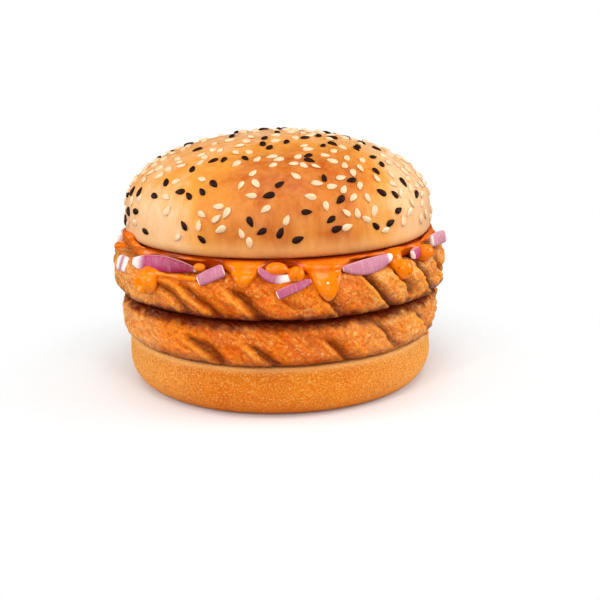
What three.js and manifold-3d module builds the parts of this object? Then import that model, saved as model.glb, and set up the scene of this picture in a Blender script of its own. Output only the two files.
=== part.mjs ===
// A burger with two grilled patties: a bread heel, two scored patties, red onion strips,
// an orange sauce that runs down the side, and a seeded crown.
// Millimetres. +Z is up, -Y is the front, and the origin is the middle of the heel's flat base.
import * as THREE from "three";
import { mergeVertices } from "three/addons/utils/BufferGeometryUtils.js";
import Module from "manifold-3d";

const wasm = await Module();
wasm.setup();

// ---- Driving dimensions ----
const GAP = 0.3; // air between pieces that rest on each other
const HEEL = { radius: 50.6, height: 16, foot: 44, bulgeHeight: 8.5, topInset: 1.2 };
const LOWER_PATTY = {
  radius: 52.6,
  bottom: HEEL.height + GAP,
  thickness: 14.2,
  edge: 8,
  lumpPhase: 0.4,
  cuts: { at: [-40.8, -27.4, -6.1, 12.9, 30, 46], width: 1.7, depth: 2.1, lean: 0.95 },
};
const UPPER_PATTY = {
  radius: 55,
  bottom: LOWER_PATTY.bottom + LOWER_PATTY.thickness + GAP,
  thickness: 13.8,
  edge: 9,
  lumpPhase: 2.2,
  cuts: { at: [-47.7, -41.3, -30.8, -19.8, -8.2, 9.2, 19.8, 29.8, 41], width: 1.8, depth: 2.4, lean: 0.85 },
};
const UNSCORED = { ...UPPER_PATTY, cuts: { ...UPPER_PATTY.cuts, depth: 0, lean: 0 } };
const SKIN_GAP = 1.5 * GAP; // air over the upper patty's skin, which is drawn with flat faces
const CUT_TURN = THREE.MathUtils.degToRad(24); // the way the parallel scores face, from +X towards +Y
const TOP_CUT_SHARE = 0.6; // how deep a score is on a patty's flat top, against its depth at the side
const EDGE_FULLNESS = 3.6; // 2 rounds a patty's edge like a circle, and more makes it fuller
const CROWN = { radius: 50, under: 48.4, wide: 51.6, height: 29, inset: 2.6, lift: 1.1 };
const CROWN_SHAPE = { across: 1.13, up: 0.7 }; // powers of sine and cosine that round the dome
const CROWN_DENT = { x: -1, y: -24, reach: 9, depth: 0.7 };
const SAUCE = { radius: 50, ripple: 0.6 };
const DRIP_START = 92; // degrees on the patty's rounded edge, just past its flat top
const SEED = { length: 3.4, width: 2.1, rise: 0.7, sunk: 1.1, count: 182, spacing: 3.3, low: 0.95 };

// ---- Where things sit round the rim. Degrees from the front, and positive is to the right ----
// drop is the angle down the patty's rounded edge: 90 is its top, 0 its widest line.
// narrowing is how much of its width a drip loses on the way: V-shaped ones lose most, fingers least.
const DRIPS = [
  { at: -10.2, width: 10, drop: 27, thick: 1.9, narrowing: 1.2 },
  { at: 15.5, width: 10, drop: -5, thick: 2, narrowing: 1.1 },
  { at: 0.5, width: 7.6, drop: 56, thick: 1.8, narrowing: 0.5 },
  { at: 6.8, width: 5.6, drop: 44, thick: 1.9, narrowing: 0.5 },
  { at: 43.2, width: 7.6, drop: 15, thick: 2.2, narrowing: 0.6 },
  { at: 59, width: 6.6, drop: 38, thick: 2.2, narrowing: 0.5 },
  { at: -44, width: 9.4, drop: -10, thick: 2.1, narrowing: 0.2 },
  { at: -84, width: 11, drop: 40, thick: 1.4, narrowing: 0.9 },
  { at: 104, width: 9, drop: 26, thick: 1.7, narrowing: 0.7 },
  { at: 139, width: 13, drop: 6, thick: 1.7, narrowing: 0.95 },
  { at: 184, width: 9, drop: 10, thick: 1.8, narrowing: 0.6 },
  { at: 221, width: 14, drop: -8, thick: 1.7, narrowing: 0.95 },
  { at: 249, width: 6, drop: 34, thick: 1.8, narrowing: 0.5 },
];
// A strip is cut from an onion ring, and bend is that ring's radius. yaw turns its length away from the
// rim's own direction, pitch lifts its far end, roll leans its top inwards, and rise lifts both ends.
// left and right are its height at either end, as a share of tall.
const STRIPS = [
  // at, reach, z, length, tall, thick, bend, yaw, pitch, roll, rise, left, right
  [-41, 52.6, 45.7, 28, 4.8, 2, 44, 0, 4, 14, -0.9, 0.8, 0.25],
  [-63, 53.9, 42.4, 6, 5.2, 1.8, 40, 8, 0, 20, 0, 0.8, 0.8],
  [-20, 53.6, 44.4, 8, 3.8, 1.8, 50, 14, 24, 22, 0, 0.85, 1],
  [-0.4, 53.4, 43.9, 9.5, 2.8, 2.2, 24, 0, -14, 24, 1.6, 0.75, 0.95],
  [5.4, 55.3, 41.6, 10.4, 2.6, 1, 60, 10, 19, 22, 0, 1, 0.5],
  [30.6, 52.8, 45.4, 17, 4.6, 2, 38, 0, 6, 14, 1.1, 0.35, 0.4],
  [53.5, 52.2, 45.9, 4.5, 3.4, 2, 30, 8, 4, 10, 0, 0.9, 0.9],
  [75, 53.2, 46.9, 9, 4.2, 2, 30, -22, 2, 10, 0, 0.9, 0.9],
  [121, 52.4, 46.2, 21, 4.6, 2, 42, 0, 3, 12, 0.6, 0.4, 0.7],
  [162, 52.6, 46, 15, 4.2, 2, 40, -6, -5, 14, -0.5, 0.7, 0.4],
  [203, 52.4, 46.2, 18, 4.6, 2, 42, 3, 4, 12, 0.8, 0.4, 0.4],
  [238, 53, 45.4, 10, 3.8, 2, 40, 12, 16, 18, 0, 0.9, 0.6],
  [266, 52.6, 46, 11, 4.4, 2, 36, -4, -4, 12, 0.5, 0.6, 0.8],
].map(([at, reach, z, length, tall, thick, bend, yaw, pitch, roll, rise, left, right]) => {
  return { at, reach, z, length, tall, thick, bend, yaw, pitch, roll, rise, left, right };
});

// ---- Numbers of faces ----
const ROUND_COLUMNS = 44;
const PATTY_COLUMNS = 76;
const DRIP_STEPS = 6;
const STRIP_STEP = 3.2; // millimetres along an onion strip
const SEED_SIDES = 6;

// ---- Small helpers ----
const TURN = 2 * Math.PI;
const radians = THREE.MathUtils.degToRad;
const smooth = (low, high, x) => THREE.MathUtils.smoothstep(x, low, high);

// Repeatable numbers from 0 to 1.
function draws(seed) {
  let state = seed >>> 0;
  return () => {
    state = (Math.imul(state, 1664525) + 1013904223) >>> 0;
    return state / 4294967296;
  };
}

// The slow unevenness of baked or grilled food round its middle, about -1 to 1.
function unevenness(angle, phase) {
  return (
    0.5 * Math.sin(2 * angle + phase) +
    0.3 * Math.sin(3 * angle + 2.3 * phase + 1) +
    0.2 * Math.sin(5 * angle + 3.1 * phase + 2)
  );
}

// The direction at an angle from the front, positive to the right.
function outward(degreesFromFront) {
  const angle = radians(degreesFromFront - 90);
  return new THREE.Vector3(Math.cos(angle), Math.sin(angle), 0);
}

function geometryOf(points, faces) {
  const geometry = new THREE.BufferGeometry();
  geometry.setAttribute("position", new THREE.Float32BufferAttribute(points.flat(), 3));
  geometry.setIndex(faces);
  return geometry;
}

// A closed skin from a lowest point, rings of points and a highest point, all facing out.
function closedSkin(columns, ringCount, pointAt, lowest, highest) {
  const points = [lowest];
  for (let ring = 0; ring < ringCount; ring++) {
    for (let column = 0; column < columns; column++) {
      points.push(pointAt(ring, column));
    }
  }
  points.push(highest);
  const at = (ring, column) => 1 + ring * columns + (column % columns);
  const faces = [];
  for (let column = 0; column < columns; column++) {
    faces.push(0, at(0, column + 1), at(0, column));
    for (let ring = 0; ring + 1 < ringCount; ring++) {
      faces.push(at(ring, column), at(ring, column + 1), at(ring + 1, column + 1));
      faces.push(at(ring, column), at(ring + 1, column + 1), at(ring + 1, column));
    }
    faces.push(at(ringCount - 1, column), at(ringCount - 1, column + 1), points.length - 1);
  }
  return geometryOf(points, faces);
}

function solidFrom(geometry) {
  const bare = geometry.clone();
  bare.deleteAttribute("normal");
  bare.deleteAttribute("uv");
  const merged = mergeVertices(bare, 1e-4);
  const vertProperties = new Float32Array(merged.attributes.position.array);
  const triVerts = new Uint32Array(merged.index.array);
  return new wasm.Manifold(new wasm.Mesh({ numProp: 3, vertProperties, triVerts }));
}

function geometryFrom(solid) {
  const mesh = solid.getMesh();
  const geometry = new THREE.BufferGeometry();
  geometry.setAttribute("position", new THREE.Float32BufferAttribute(mesh.vertProperties, 3));
  geometry.setIndex([...mesh.triVerts]);
  geometry.computeVertexNormals();
  return geometry;
}

// The largest of the solids that a cut leaves, without loose scraps.
function mainBody(solid) {
  const bodies = solid.decompose();
  return bodies.reduce((best, body) => (body.volume() > best.volume() ? body : best));
}

// ---- Heel: the bun's lower half, flat below, rounded at its foot, with a cut top edge ----
function heelGeometry() {
  const { radius, height, foot, bulgeHeight, topInset } = HEEL;
  const profile = [[foot * 0.5, 0], [foot, 0]];
  const footSteps = 3;
  for (let step = 1; step <= footSteps; step++) {
    const turn = (step / footSteps) * (Math.PI / 2);
    profile.push([foot + (radius - foot) * Math.sin(turn), bulgeHeight * (1 - Math.cos(turn))]);
  }
  profile.push([radius - 0.25, height - 2.6]);
  profile.push([radius - 0.6, height - 0.7]);
  profile.push([radius - topInset, height]);
  profile.push([foot * 0.5, height]);
  const pointAt = (ring, column) => {
    const angle = (column / ROUND_COLUMNS) * TURN;
    const [reach, z] = profile[ring];
    const uneven = 0.55 * unevenness(angle, 1.1) * smooth(foot * 0.6, radius, reach);
    return [(reach + uneven) * Math.cos(angle), (reach + uneven) * Math.sin(angle), z];
  };
  return closedSkin(ROUND_COLUMNS, profile.length, pointAt, [0, 0, 0], [0, 0, height]);
}

// ---- Patties: slabs with a full rounded edge and parallel slanting scores ----
// How deep the nearest score is at a point, from 0 to 1.
function scoreAt(cuts, x, y, zFromMiddle) {
  const along = x * Math.cos(CUT_TURN) + y * Math.sin(CUT_TURN) + cuts.lean * zFromMiddle;
  const apart = Math.min(...cuts.at.map((place) => Math.abs(along - place)));
  return Math.exp(-((apart / cuts.width) ** 2));
}

// How far out and how far up a patty's full rounded edge is, at an angle from its widest line.
function edgeShape(edgeTurn) {
  const side = Math.cos(edgeTurn);
  const up = Math.sin(edgeTurn);
  const far = (Math.abs(side) ** EDGE_FULLNESS + Math.abs(up) ** EDGE_FULLNESS) ** (1 / EDGE_FULLNESS);
  return { side: side / far, up: up / far };
}

// A point of a patty's skin: edgeTurn is -90 degrees at its flat bottom and 90 at its flat top,
// and inner brings the point in over the flat, from 1 at the edge's start to 0 in the middle.
function pattyPoint(patty, angle, edgeTurn, inner, grow) {
  const { radius, bottom, thickness, edge, lumpPhase, cuts } = patty;
  const middle = bottom + thickness / 2;
  const { side, up } = edgeShape(edgeTurn);
  const reach = (radius - edge) * inner + (edge + grow) * side;
  const uneven = 1 + 0.012 * unevenness(angle, lumpPhase) * smooth(0.2, 1, inner);
  const zFromMiddle = (thickness / 2 + grow) * up;
  const x = reach * uneven * Math.cos(angle);
  const y = reach * uneven * Math.sin(angle);
  const reached = smooth(-0.9, -0.2, Math.sin(edgeTurn)) * inner;
  const deep = cuts.depth * reached * scoreAt(cuts, x, y, zFromMiddle);
  const drawnIn = 1 - (deep * side) / reach;
  return [x * drawnIn, y * drawnIn, middle + zFromMiddle - deep * Math.max(up, 0) * TOP_CUT_SHARE];
}

function pattyGeometry(patty, columns = PATTY_COLUMNS, grow = 0) {
  const turns = [-90, -61, -43, -16, 16, 43, 61, 90].map(radians);
  const rings = [[turns[0], 0.55], ...turns.map((turn) => [turn, 1]), [turns.at(-1), 0.55]];
  const { radius, bottom, thickness, cuts } = patty;
  const pointAt = (ring, column) => {
    const [edgeTurn, inner] = rings[ring];
    const straight = (column / columns) * TURN;
    // The columns lean with the scores, so that a score runs along them.
    const across = Math.sin(straight - CUT_TURN);
    const crossing = (Math.sign(across) || 1) * Math.max(Math.abs(across), 0.6);
    const lift = (thickness / 2) * edgeShape(edgeTurn).up;
    const lean = ((cuts.lean * lift) / (radius * crossing)) * Math.min(1, Math.abs(across) / 0.3);
    return pattyPoint(patty, straight + lean, edgeTurn, inner, grow);
  };
  const low = [0, 0, bottom - grow];
  const high = [0, 0, bottom + thickness + grow];
  return closedSkin(columns, rings.length, pointAt, low, high);
}

// ---- Crown: the seeded dome ----
// A point of the dome: fall is 0 at the top and 90 degrees at the widest line.
function crownPoint(fall, angle, grow = 0) {
  const { radius, wide, height } = CROWN;
  const uneven = 1 + 0.01 * unevenness(angle, 0.7);
  const reach = (radius + grow) * uneven * Math.sin(fall) ** CROWN_SHAPE.across;
  const x = reach * Math.cos(angle);
  const y = reach * Math.sin(angle);
  const z = wide + (height + grow) * Math.max(Math.cos(fall), 0) ** CROWN_SHAPE.up;
  const dentDistance = Math.hypot(x - CROWN_DENT.x, y - CROWN_DENT.y) / CROWN_DENT.reach;
  return new THREE.Vector3(x, y, z - CROWN_DENT.depth * Math.exp(-(dentDistance ** 2)));
}

function crownGeometry(grow = 0) {
  const { radius, under, wide, inset, lift } = CROWN;
  const falls = [90, 84, 76, 66, 55, 44, 33, 22, 11].map(radians);
  const rim = [
    [radius * 0.5, under - grow],
    [radius - inset + grow, under - grow],
    [radius - inset * 0.25 + grow, under + lift - grow],
  ];
  const pointAt = (ring, column) => {
    const angle = (column / ROUND_COLUMNS) * TURN;
    if (ring >= rim.length) {
      return crownPoint(falls[ring - rim.length], angle, grow).toArray();
    }
    const [reach, z] = rim[ring];
    const uneven = 1 + 0.01 * unevenness(angle, 0.7);
    return [reach * uneven * Math.cos(angle), reach * uneven * Math.sin(angle), z];
  };
  const top = crownPoint(0, 0, grow).toArray();
  return closedSkin(ROUND_COLUMNS, rim.length + falls.length, pointAt, [0, 0, under - grow], top);
}

// How thickly the seeds lie: fewer near the rim, and a denser patch on the right of the top.
function seedCover(fall, angle) {
  const patch = crownPoint(radians(36), radians(-38));
  const away = crownPoint(fall, angle).distanceTo(patch);
  const towardsRim = smooth(radians(62), radians(88), fall);
  return 0.55 + 0.45 * Math.exp(-((away / 20) ** 2)) - 0.3 * towardsRim;
}

// Seeds thrown one by one: a throw is kept if the cover wants it and no seed is too near.
function seedPlaces() {
  const draw = draws(41);
  const lowest = radians(90 * SEED.low);
  const places = [];
  while (places.length < SEED.count) {
    const fall = Math.acos(1 - draw() * (1 - Math.cos(lowest)));
    const angle = draw() * TURN;
    const heading = draw() * TURN;
    const size = 0.9 + 0.2 * draw();
    const wanted = draw() < seedCover(fall, angle);
    const point = crownPoint(fall, angle);
    const free = places.every((other) => other.point.distanceTo(point) > SEED.spacing);
    if (wanted && free) {
      places.push({ point, fall, angle, heading, size });
    }
  }
  return places;
}

function crownNormal({ fall, angle }) {
  const step = 0.01;
  const down = crownPoint(fall + step, angle).sub(crownPoint(fall - step, angle));
  const round = crownPoint(fall, angle + step).sub(crownPoint(fall, angle - step));
  return down.cross(round).normalize();
}

// One drop-shaped seed, pointed at one end, lying half sunk in the crust.
function seedGeometry(place) {
  const pointAt = (_, side) => {
    const turn = (side / SEED_SIDES) * TURN;
    const taper = 1 - 0.32 * Math.cos(turn);
    const x = (SEED.length / 2) * Math.cos(turn);
    const y = (SEED.width / 2) * Math.sin(turn) * taper;
    return [x * place.size, y * place.size, SEED.rise * 0.3];
  };
  const seed = closedSkin(SEED_SIDES, 1, pointAt, [0, 0, -SEED.sunk], [0, 0, SEED.rise]);
  const normal = crownNormal(place);
  const tilt = new THREE.Quaternion().setFromUnitVectors(new THREE.Vector3(0, 0, 1), normal);
  const spin = new THREE.Quaternion().setFromAxisAngle(new THREE.Vector3(0, 0, 1), place.heading);
  const lie = new THREE.Matrix4();
  lie.compose(place.point, tilt.multiply(spin), new THREE.Vector3(1, 1, 1));
  return seed.applyMatrix4(lie);
}

// ---- Onion strips ----
const STRIP_SECTION = [[-1, -0.8], [0, -1], [1, -0.8], [1, 0.8], [0, 1], [-1, 0.8]];
const ROOM_SECTION = [[-1, -1], [1, -1], [1, 1], [-1, 1]];

function stripGeometry(strip, section = STRIP_SECTION, grow = 0) {
  const { length, tall, thick, bend, rise, left, right } = strip;
  const steps = Math.max(2, Math.round(length / STRIP_STEP));
  const centreAt = (share) => {
    const along = (share - 0.5) * (length + 2 * grow);
    const turn = along / bend;
    const towardsEnd = (2 * share - 1) ** 2;
    const endHeight = share < 0.5 ? left : right;
    return {
      x: bend * Math.sin(turn),
      y: bend * (1 - Math.cos(turn)),
      z: rise * towardsEnd,
      turn,
      halfTall: (tall / 2) * (1 - (1 - endHeight) * towardsEnd) + grow,
    };
  };
  const pointAt = (ring, column) => {
    const { x, y, z, turn, halfTall } = centreAt(ring / steps);
    const [across, up] = section[column];
    const out = across * (thick / 2 + grow);
    return [x + out * Math.sin(turn), y - out * Math.cos(turn), z + up * halfTall];
  };
  const [first, last] = [centreAt(0), centreAt(1)].map(({ x, y, z }) => [x, y, z]);
  const bar = closedSkin(section.length, steps + 1, pointAt, first, last);
  const frame = new THREE.Object3D();
  frame.rotation.order = "ZYX";
  const facing = radians(strip.at);
  frame.rotation.set(radians(-strip.roll), radians(-strip.pitch), facing + radians(strip.yaw));
  frame.position.copy(outward(strip.at).multiplyScalar(strip.reach)).setZ(strip.z);
  frame.updateMatrix();
  return bar.applyMatrix4(frame.matrix);
}

// ---- Sauce: a spread layer, with drips that run over the upper patty's edge ----
function sauceLayerGeometry() {
  const top = CROWN.under - GAP;
  const low = UPPER_PATTY.bottom + UPPER_PATTY.thickness + GAP;
  const profile = [
    [0.6, low, 0],
    [0.96, low, 0.6],
    [1, (low + top) / 2, 1],
    [0.98, top, 0.8],
    [0.6, top, 0],
  ];
  const pointAt = (ring, column) => {
    const angle = (column / ROUND_COLUMNS) * TURN;
    const [share, z, wavy] = profile[ring];
    const ripple = wavy * SAUCE.ripple * (Math.sin(5 * angle + 1) + 0.6 * Math.sin(9 * angle));
    const reach = SAUCE.radius * share + ripple;
    return [reach * Math.cos(angle), reach * Math.sin(angle), z];
  };
  return closedSkin(ROUND_COLUMNS, profile.length, pointAt, [0, 0, low], [0, 0, top]);
}

// A drip clings to the upper patty's skin, so its points are that skin's, pushed outwards.
function dripGeometry(drip) {
  const section = [[-0.8, 0], [0.8, 0], [1, 0.4], [0.5, 1], [-0.5, 1], [-1, 0.4]];
  const onPatty = (turn, sideways, off) => {
    const angle = radians(drip.at - 90) + sideways / UNSCORED.radius;
    return pattyPoint(UNSCORED, angle, turn, 1, SKIN_GAP + off);
  };
  const turnAt = (share) => radians(DRIP_START + (drip.drop - DRIP_START) * share);
  const pointAt = (ring, column) => {
    const share = ring / DRIP_STEPS;
    const swell = Math.sqrt(Math.max(1 - share ** 5, 0.04));
    const halfWide = (drip.width / 2) * (1 + drip.narrowing * (0.35 - share)) * swell;
    const thick = drip.thick * (0.7 + 0.3 * share) * swell;
    const [sideways, off] = section[column];
    return onPatty(turnAt(share), sideways * halfWide, off * thick);
  };
  const first = onPatty(turnAt(0), 0, drip.thick * 0.35);
  const last = onPatty(turnAt(1.02), 0, drip.thick * 0.2);
  return closedSkin(section.length, DRIP_STEPS + 1, pointAt, first, last);
}

// ---- Materials ----
const finish = (color, roughness) => new THREE.MeshStandardMaterial({ color, roughness, metalness: 0 });
const crust = finish("#d99a4e", 0.5);
const toasted = finish("#d9953f", 0.75);
const grilled = finish("#b8662a", 0.55);
const onion = finish("#c07fb4", 0.4);
const dressing = finish("#f08a1d", 0.3);

// ---- Assembly ----
const burger = new THREE.Group();

function addPiece(name, geometry, material) {
  const piece = new THREE.Mesh(geometry, material);
  piece.name = name;
  burger.add(piece);
}

function facingOut(geometry) {
  const solid = solidFrom(geometry);
  if (solid.volume() > 0) {
    return solid;
  }
  const turned = geometry.clone();
  turned.setIndex([...geometry.index.array].reverse());
  return solidFrom(turned);
}

const seeds = seedPlaces().map((place) => facingOut(seedGeometry(place)));
const crownSolid = wasm.Manifold.union([solidFrom(crownGeometry()), ...seeds]);
const pattyRoom = solidFrom(pattyGeometry(UNSCORED, ROUND_COLUMNS, SKIN_GAP));
const crownRoom = solidFrom(crownGeometry(GAP));

let stripsRoom = null;
const stripSolids = STRIPS.map((strip) => {
  let solid = facingOut(stripGeometry(strip)).subtract(pattyRoom).subtract(crownRoom);
  if (stripsRoom) {
    solid = solid.subtract(stripsRoom);
  }
  const room = facingOut(stripGeometry(strip, ROOM_SECTION, GAP));
  stripsRoom = stripsRoom ? stripsRoom.add(room) : room;
  return mainBody(solid);
});

const drips = DRIPS.map((drip) => facingOut(dripGeometry(drip)));
const sauceWhole = wasm.Manifold.union([solidFrom(sauceLayerGeometry()), ...drips]);
const sauceSolid = mainBody(sauceWhole.subtract(stripsRoom));

addPiece("bun_heel", heelGeometry(), toasted);
addPiece("patty_lower", pattyGeometry(LOWER_PATTY), grilled);
addPiece("patty_upper", pattyGeometry(UPPER_PATTY), grilled);
stripSolids.forEach((solid, index) => {
  const number = String(index + 1).padStart(2, "0");
  addPiece(`onion_${number}`, geometryFrom(solid), onion);
});
addPiece("sauce", geometryFrom(sauceSolid), dressing);
addPiece("bun_crown", geometryFrom(crownSolid), crust);

export default burger;
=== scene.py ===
# %% [markdown]
# # A burger with two grilled patties
# On the table this is a soft bun cut in two, with two slashed and grilled patties, red onion strips and an
# orange sauce between the halves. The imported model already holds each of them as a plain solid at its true
# size. It could be painted as it is, but food is judged by its surface. So every solid is replaced here by
# a finer piece of the same form, and the solids stay behind as the frame that says where things go.

# %% Load the solids as a fixed frame
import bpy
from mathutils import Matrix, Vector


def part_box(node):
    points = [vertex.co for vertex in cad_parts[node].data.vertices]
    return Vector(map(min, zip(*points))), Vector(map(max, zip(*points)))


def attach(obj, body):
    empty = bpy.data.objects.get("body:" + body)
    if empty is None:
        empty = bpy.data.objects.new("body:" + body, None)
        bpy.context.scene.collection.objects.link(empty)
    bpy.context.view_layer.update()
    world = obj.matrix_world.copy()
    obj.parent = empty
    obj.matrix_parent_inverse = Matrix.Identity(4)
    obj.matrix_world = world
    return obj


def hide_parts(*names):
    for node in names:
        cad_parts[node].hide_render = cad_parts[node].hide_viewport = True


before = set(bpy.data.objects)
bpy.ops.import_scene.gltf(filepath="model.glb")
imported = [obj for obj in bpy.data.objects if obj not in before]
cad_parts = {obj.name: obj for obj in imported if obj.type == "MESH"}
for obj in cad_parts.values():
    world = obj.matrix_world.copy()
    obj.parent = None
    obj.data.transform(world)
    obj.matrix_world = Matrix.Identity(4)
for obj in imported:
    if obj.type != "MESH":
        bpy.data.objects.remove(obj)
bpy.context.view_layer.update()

# %% Tools and units
import math

import bpy
import numpy as np
from mathutils import Matrix, Vector

MM = 0.001  # lengths below are in millimetres, and Blender's are in metres
TURN = 2 * math.pi
scene = bpy.context.scene
scene.view_settings.view_transform = "Standard"
print("colours are shown as", scene.view_settings.view_transform)

# %% [markdown]
# ## Camera
# The photograph looks at the burger from the front and a little above. The camera's place, its downward
# tilt and its slight roll were worked out from the outlines of the bun and the patties. A lens of this
# length keeps the near edge from bulging, and there is no blur, so every seed stays sharp.

# %% Place the camera
CAMERA_PLACE = (6.77, -300.0, 104.68)
CAMERA_TILT_DOWN = math.radians(15.19)
CAMERA_ROLL = -0.01295
FRAME_PIXELS = 600
FOCAL_PIXELS = 908.9
SENSOR_WIDTH = 36.0


def put_in_scene(name, data):
    """An object that shows a mesh, a light or a camera."""
    made = bpy.data.objects.new(name, data)
    scene.collection.objects.link(made)
    return made


camera_data = bpy.data.cameras.new("camera")
camera_data.sensor_width = SENSOR_WIDTH
camera_data.lens = FOCAL_PIXELS / FRAME_PIXELS * SENSOR_WIDTH
camera_data.clip_start = 0.01
camera = put_in_scene("camera", camera_data)
camera.matrix_world = (
    Matrix.Translation(Vector(CAMERA_PLACE) * MM)
    @ Matrix.Rotation(math.pi / 2 - CAMERA_TILT_DOWN, 4, "X")
    @ Matrix.Rotation(CAMERA_ROLL, 4, "Z")
)
scene.camera = camera
print("lens", round(camera_data.lens, 2), "mm")

# %% [markdown]
# ## Helpers for finishes
# A finish in Blender is a network of nodes that make numbers and colours and pass them on. It can be drawn
# by hand in the editor, but in code it can be read from top to bottom, repeated and changed. Most of these
# short helpers add one node, and each input takes either a plain value or another node's output.


# %% Add and join nodes
def linear(code):
    """A colour written as six hexadecimal digits, as the light values that Blender wants."""
    parts = [int(code[i:i + 2], 16) / 255 for i in (0, 2, 4)]
    return tuple(p / 12.92 if p <= 0.04045 else ((p + 0.055) / 1.055) ** 2.4 for p in parts) + (1.0,)


def fill(tree, made, values):
    """Gives a node's inputs, named or numbered, a plain value or a link from another node's output."""
    for socket, value in values.items():
        if isinstance(value, bpy.types.NodeSocket):
            tree.links.new(value, made.inputs[socket])
        else:
            made.inputs[socket].default_value = value


def add(tree, kind, values=None, **options):
    """Adds a node of that kind, sets its options and fills its inputs."""
    made = tree.nodes.new(kind)
    for option, choice in options.items():
        setattr(made, option, choice)
    fill(tree, made, values or {})
    return made


def blend_colours(tree, share, first, second):
    return add(tree, "ShaderNodeMix", {0: share, 6: first, 7: second}, data_type="RGBA").outputs[2]


def calculate(tree, operation, first, second=0.0, third=0.0):
    return add(tree, "ShaderNodeMath", {0: first, 1: second, 2: third}, operation=operation).outputs[0]


def times(tree, first, second):
    return calculate(tree, "MULTIPLY", first, second)


def stretch(tree, value, low, high, to_low=0.0, to_high=1.0, **options):
    """Turns values from low to high into values from to_low to to_high, and goes no further."""
    values = {"Value": value, "From Min": low, "From Max": high, "To Min": to_low, "To Max": to_high}
    return add(tree, "ShaderNodeMapRange", values, clamp=True, **options).outputs["Result"]


def noise(tree, place, scale, detail, roughness=0.5):
    """Soft clouds of values round 0.5. The larger the scale, the smaller the clouds."""
    values = {"Vector": place, "Scale": scale, "Detail": detail, "Roughness": roughness}
    return add(tree, "ShaderNodeTexNoise", values).outputs["Fac"]


def axes(tree, place):
    """The x, y and z of a place."""
    return tuple(add(tree, "ShaderNodeSeparateXYZ", {0: place}).outputs)


def join_axes(tree, x, y, z):
    return add(tree, "ShaderNodeCombineXYZ", {0: x, 1: y, 2: z}).outputs[0]


print("mid grey as a light value:", round(linear("808080")[0], 3))


# %% Start a finish
def start_finish(name):
    """A new material, with its tree, its shader and the place on the piece that effects read."""
    material = bpy.data.materials.new(name)
    material.use_nodes = True
    tree = material.node_tree
    place = add(tree, "ShaderNodeTexCoord").outputs["Object"]
    return material, tree, tree.nodes["Principled BSDF"], place


def stored(tree, name):
    """The numbers of that name that a piece has stored on its points."""
    return add(tree, "ShaderNodeAttribute", attribute_name=name).outputs["Fac"]


def raise_surface(tree, shader, height, distance, strength):
    bump = add(tree, "ShaderNodeBump", {"Height": height, "Distance": distance * MM, "Strength": strength})
    tree.links.new(bump.outputs["Normal"], shader.inputs["Normal"])


def paint(material, *pieces):
    for piece in pieces:
        piece.data.materials.append(material)
    print(material.name, "is on", len(pieces), "piece" if len(pieces) == 1 else "pieces")


# %% [markdown]
# ## Light and floor
# Food is lit softly so that it looks fresh: a wide soft light on each side brightens the flanks of the bun,
# one from above and in front shapes the dome, and a pale room fills the shadows. With only small hard
# lights the crust would look like plastic. Four small weak ones in front add crisp glints on the sauce, and
# a low strip of light stands for the bright table in front, which the lower edges of the drips mirror.

# %% Hang the soft lights
SOFT_LIGHTS = [
    # name, place, width of the light, power in watts
    ("left", (-430, -60, 200), 300, 1.08),
    ("right", (430, -40, 220), 300, 1.42),
    ("front", (-140, -520, 330), 260, 0.45),
    ("glint_left", (-250, -420, 330), 32, 0.42),
    ("glint_right", (230, -430, 320), 32, 0.36),
    ("low_glint_left", (-160, -440, 130), 20, 0.26),
    ("low_glint_right", (190, -430, 120), 20, 0.26),
]
TABLE_GLINT = ("table_glint", (30, -300, -70), 200, 0.05)
TABLE_GLINT_HEIGHT = 16  # it starts as a square like the others and is then made this low
LIGHT_AIM = Vector((0, 0, 42)) * MM
CEILING_STRENGTH = 1.3
CEILING_SPREAD = math.radians(40)
CEILING_LEAN = math.radians(12)


def hang_light(name, place, width, watts):
    """A square soft light that faces the burger."""
    light_data = bpy.data.lights.new("light_" + name, "AREA")
    light_data.shape = "SQUARE"
    light_data.size = width * MM
    light_data.energy = watts
    light = put_in_scene("light_" + name, light_data)
    light.location = Vector(place) * MM
    light.rotation_euler = (LIGHT_AIM - light.location).to_track_quat("-Z", "Y").to_euler()
    return light_data


for soft_light in SOFT_LIGHTS:
    hang_light(*soft_light)
table_glint = hang_light(*TABLE_GLINT)
table_glint.shape = "RECTANGLE"
table_glint.size_y = TABLE_GLINT_HEIGHT * MM

ceiling_data = bpy.data.lights.new("light_ceiling", "SUN")
ceiling_data.energy = CEILING_STRENGTH
ceiling_data.angle = CEILING_SPREAD
ceiling = put_in_scene("light_ceiling", ceiling_data)
ceiling.rotation_euler = (CEILING_LEAN, 0, 0)
print("soft lights:", len(SOFT_LIGHTS), "a strip of light and a ceiling")

# %% Fill the room with pale light
WHITE = (1.0, 1.0, 1.0, 1.0)
ROOM_STRENGTH = 0.32
MIRRORED_STRENGTH = 0.06  # the room as wet surfaces mirror it, so that no pale veil lies over their colour
BACKDROP_STRENGTH = 1.0


def pale_room():
    """An even pale light from all round, and the white backdrop that the camera sees."""
    room = bpy.data.worlds.new("pale_room")
    room.use_nodes = True
    tree = room.node_tree
    seen = add(tree, "ShaderNodeLightPath").outputs
    mirrored = stretch(tree, seen["Is Glossy Ray"], 0.0, 1.0, ROOM_STRENGTH, MIRRORED_STRENGTH)
    strength = stretch(tree, seen["Is Camera Ray"], 0.0, 1.0, mirrored, BACKDROP_STRENGTH)
    fill(tree, tree.nodes["Background"], {"Color": WHITE, "Strength": strength})
    return room


scene.world = pale_room()
print("room:", scene.world.name, ROOM_STRENGTH)

# %% Lay the floor
FLOOR_RADIUS = 900.0
FLOOR_SIDES = 96
FLOOR_DROP = 0.05
FLOOR_COLOUR = (0.76, 0.76, 0.76, 1.0)
FLOOR_FADE_START, FLOOR_FADE_END = 46, 108  # distances from the middle


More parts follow.
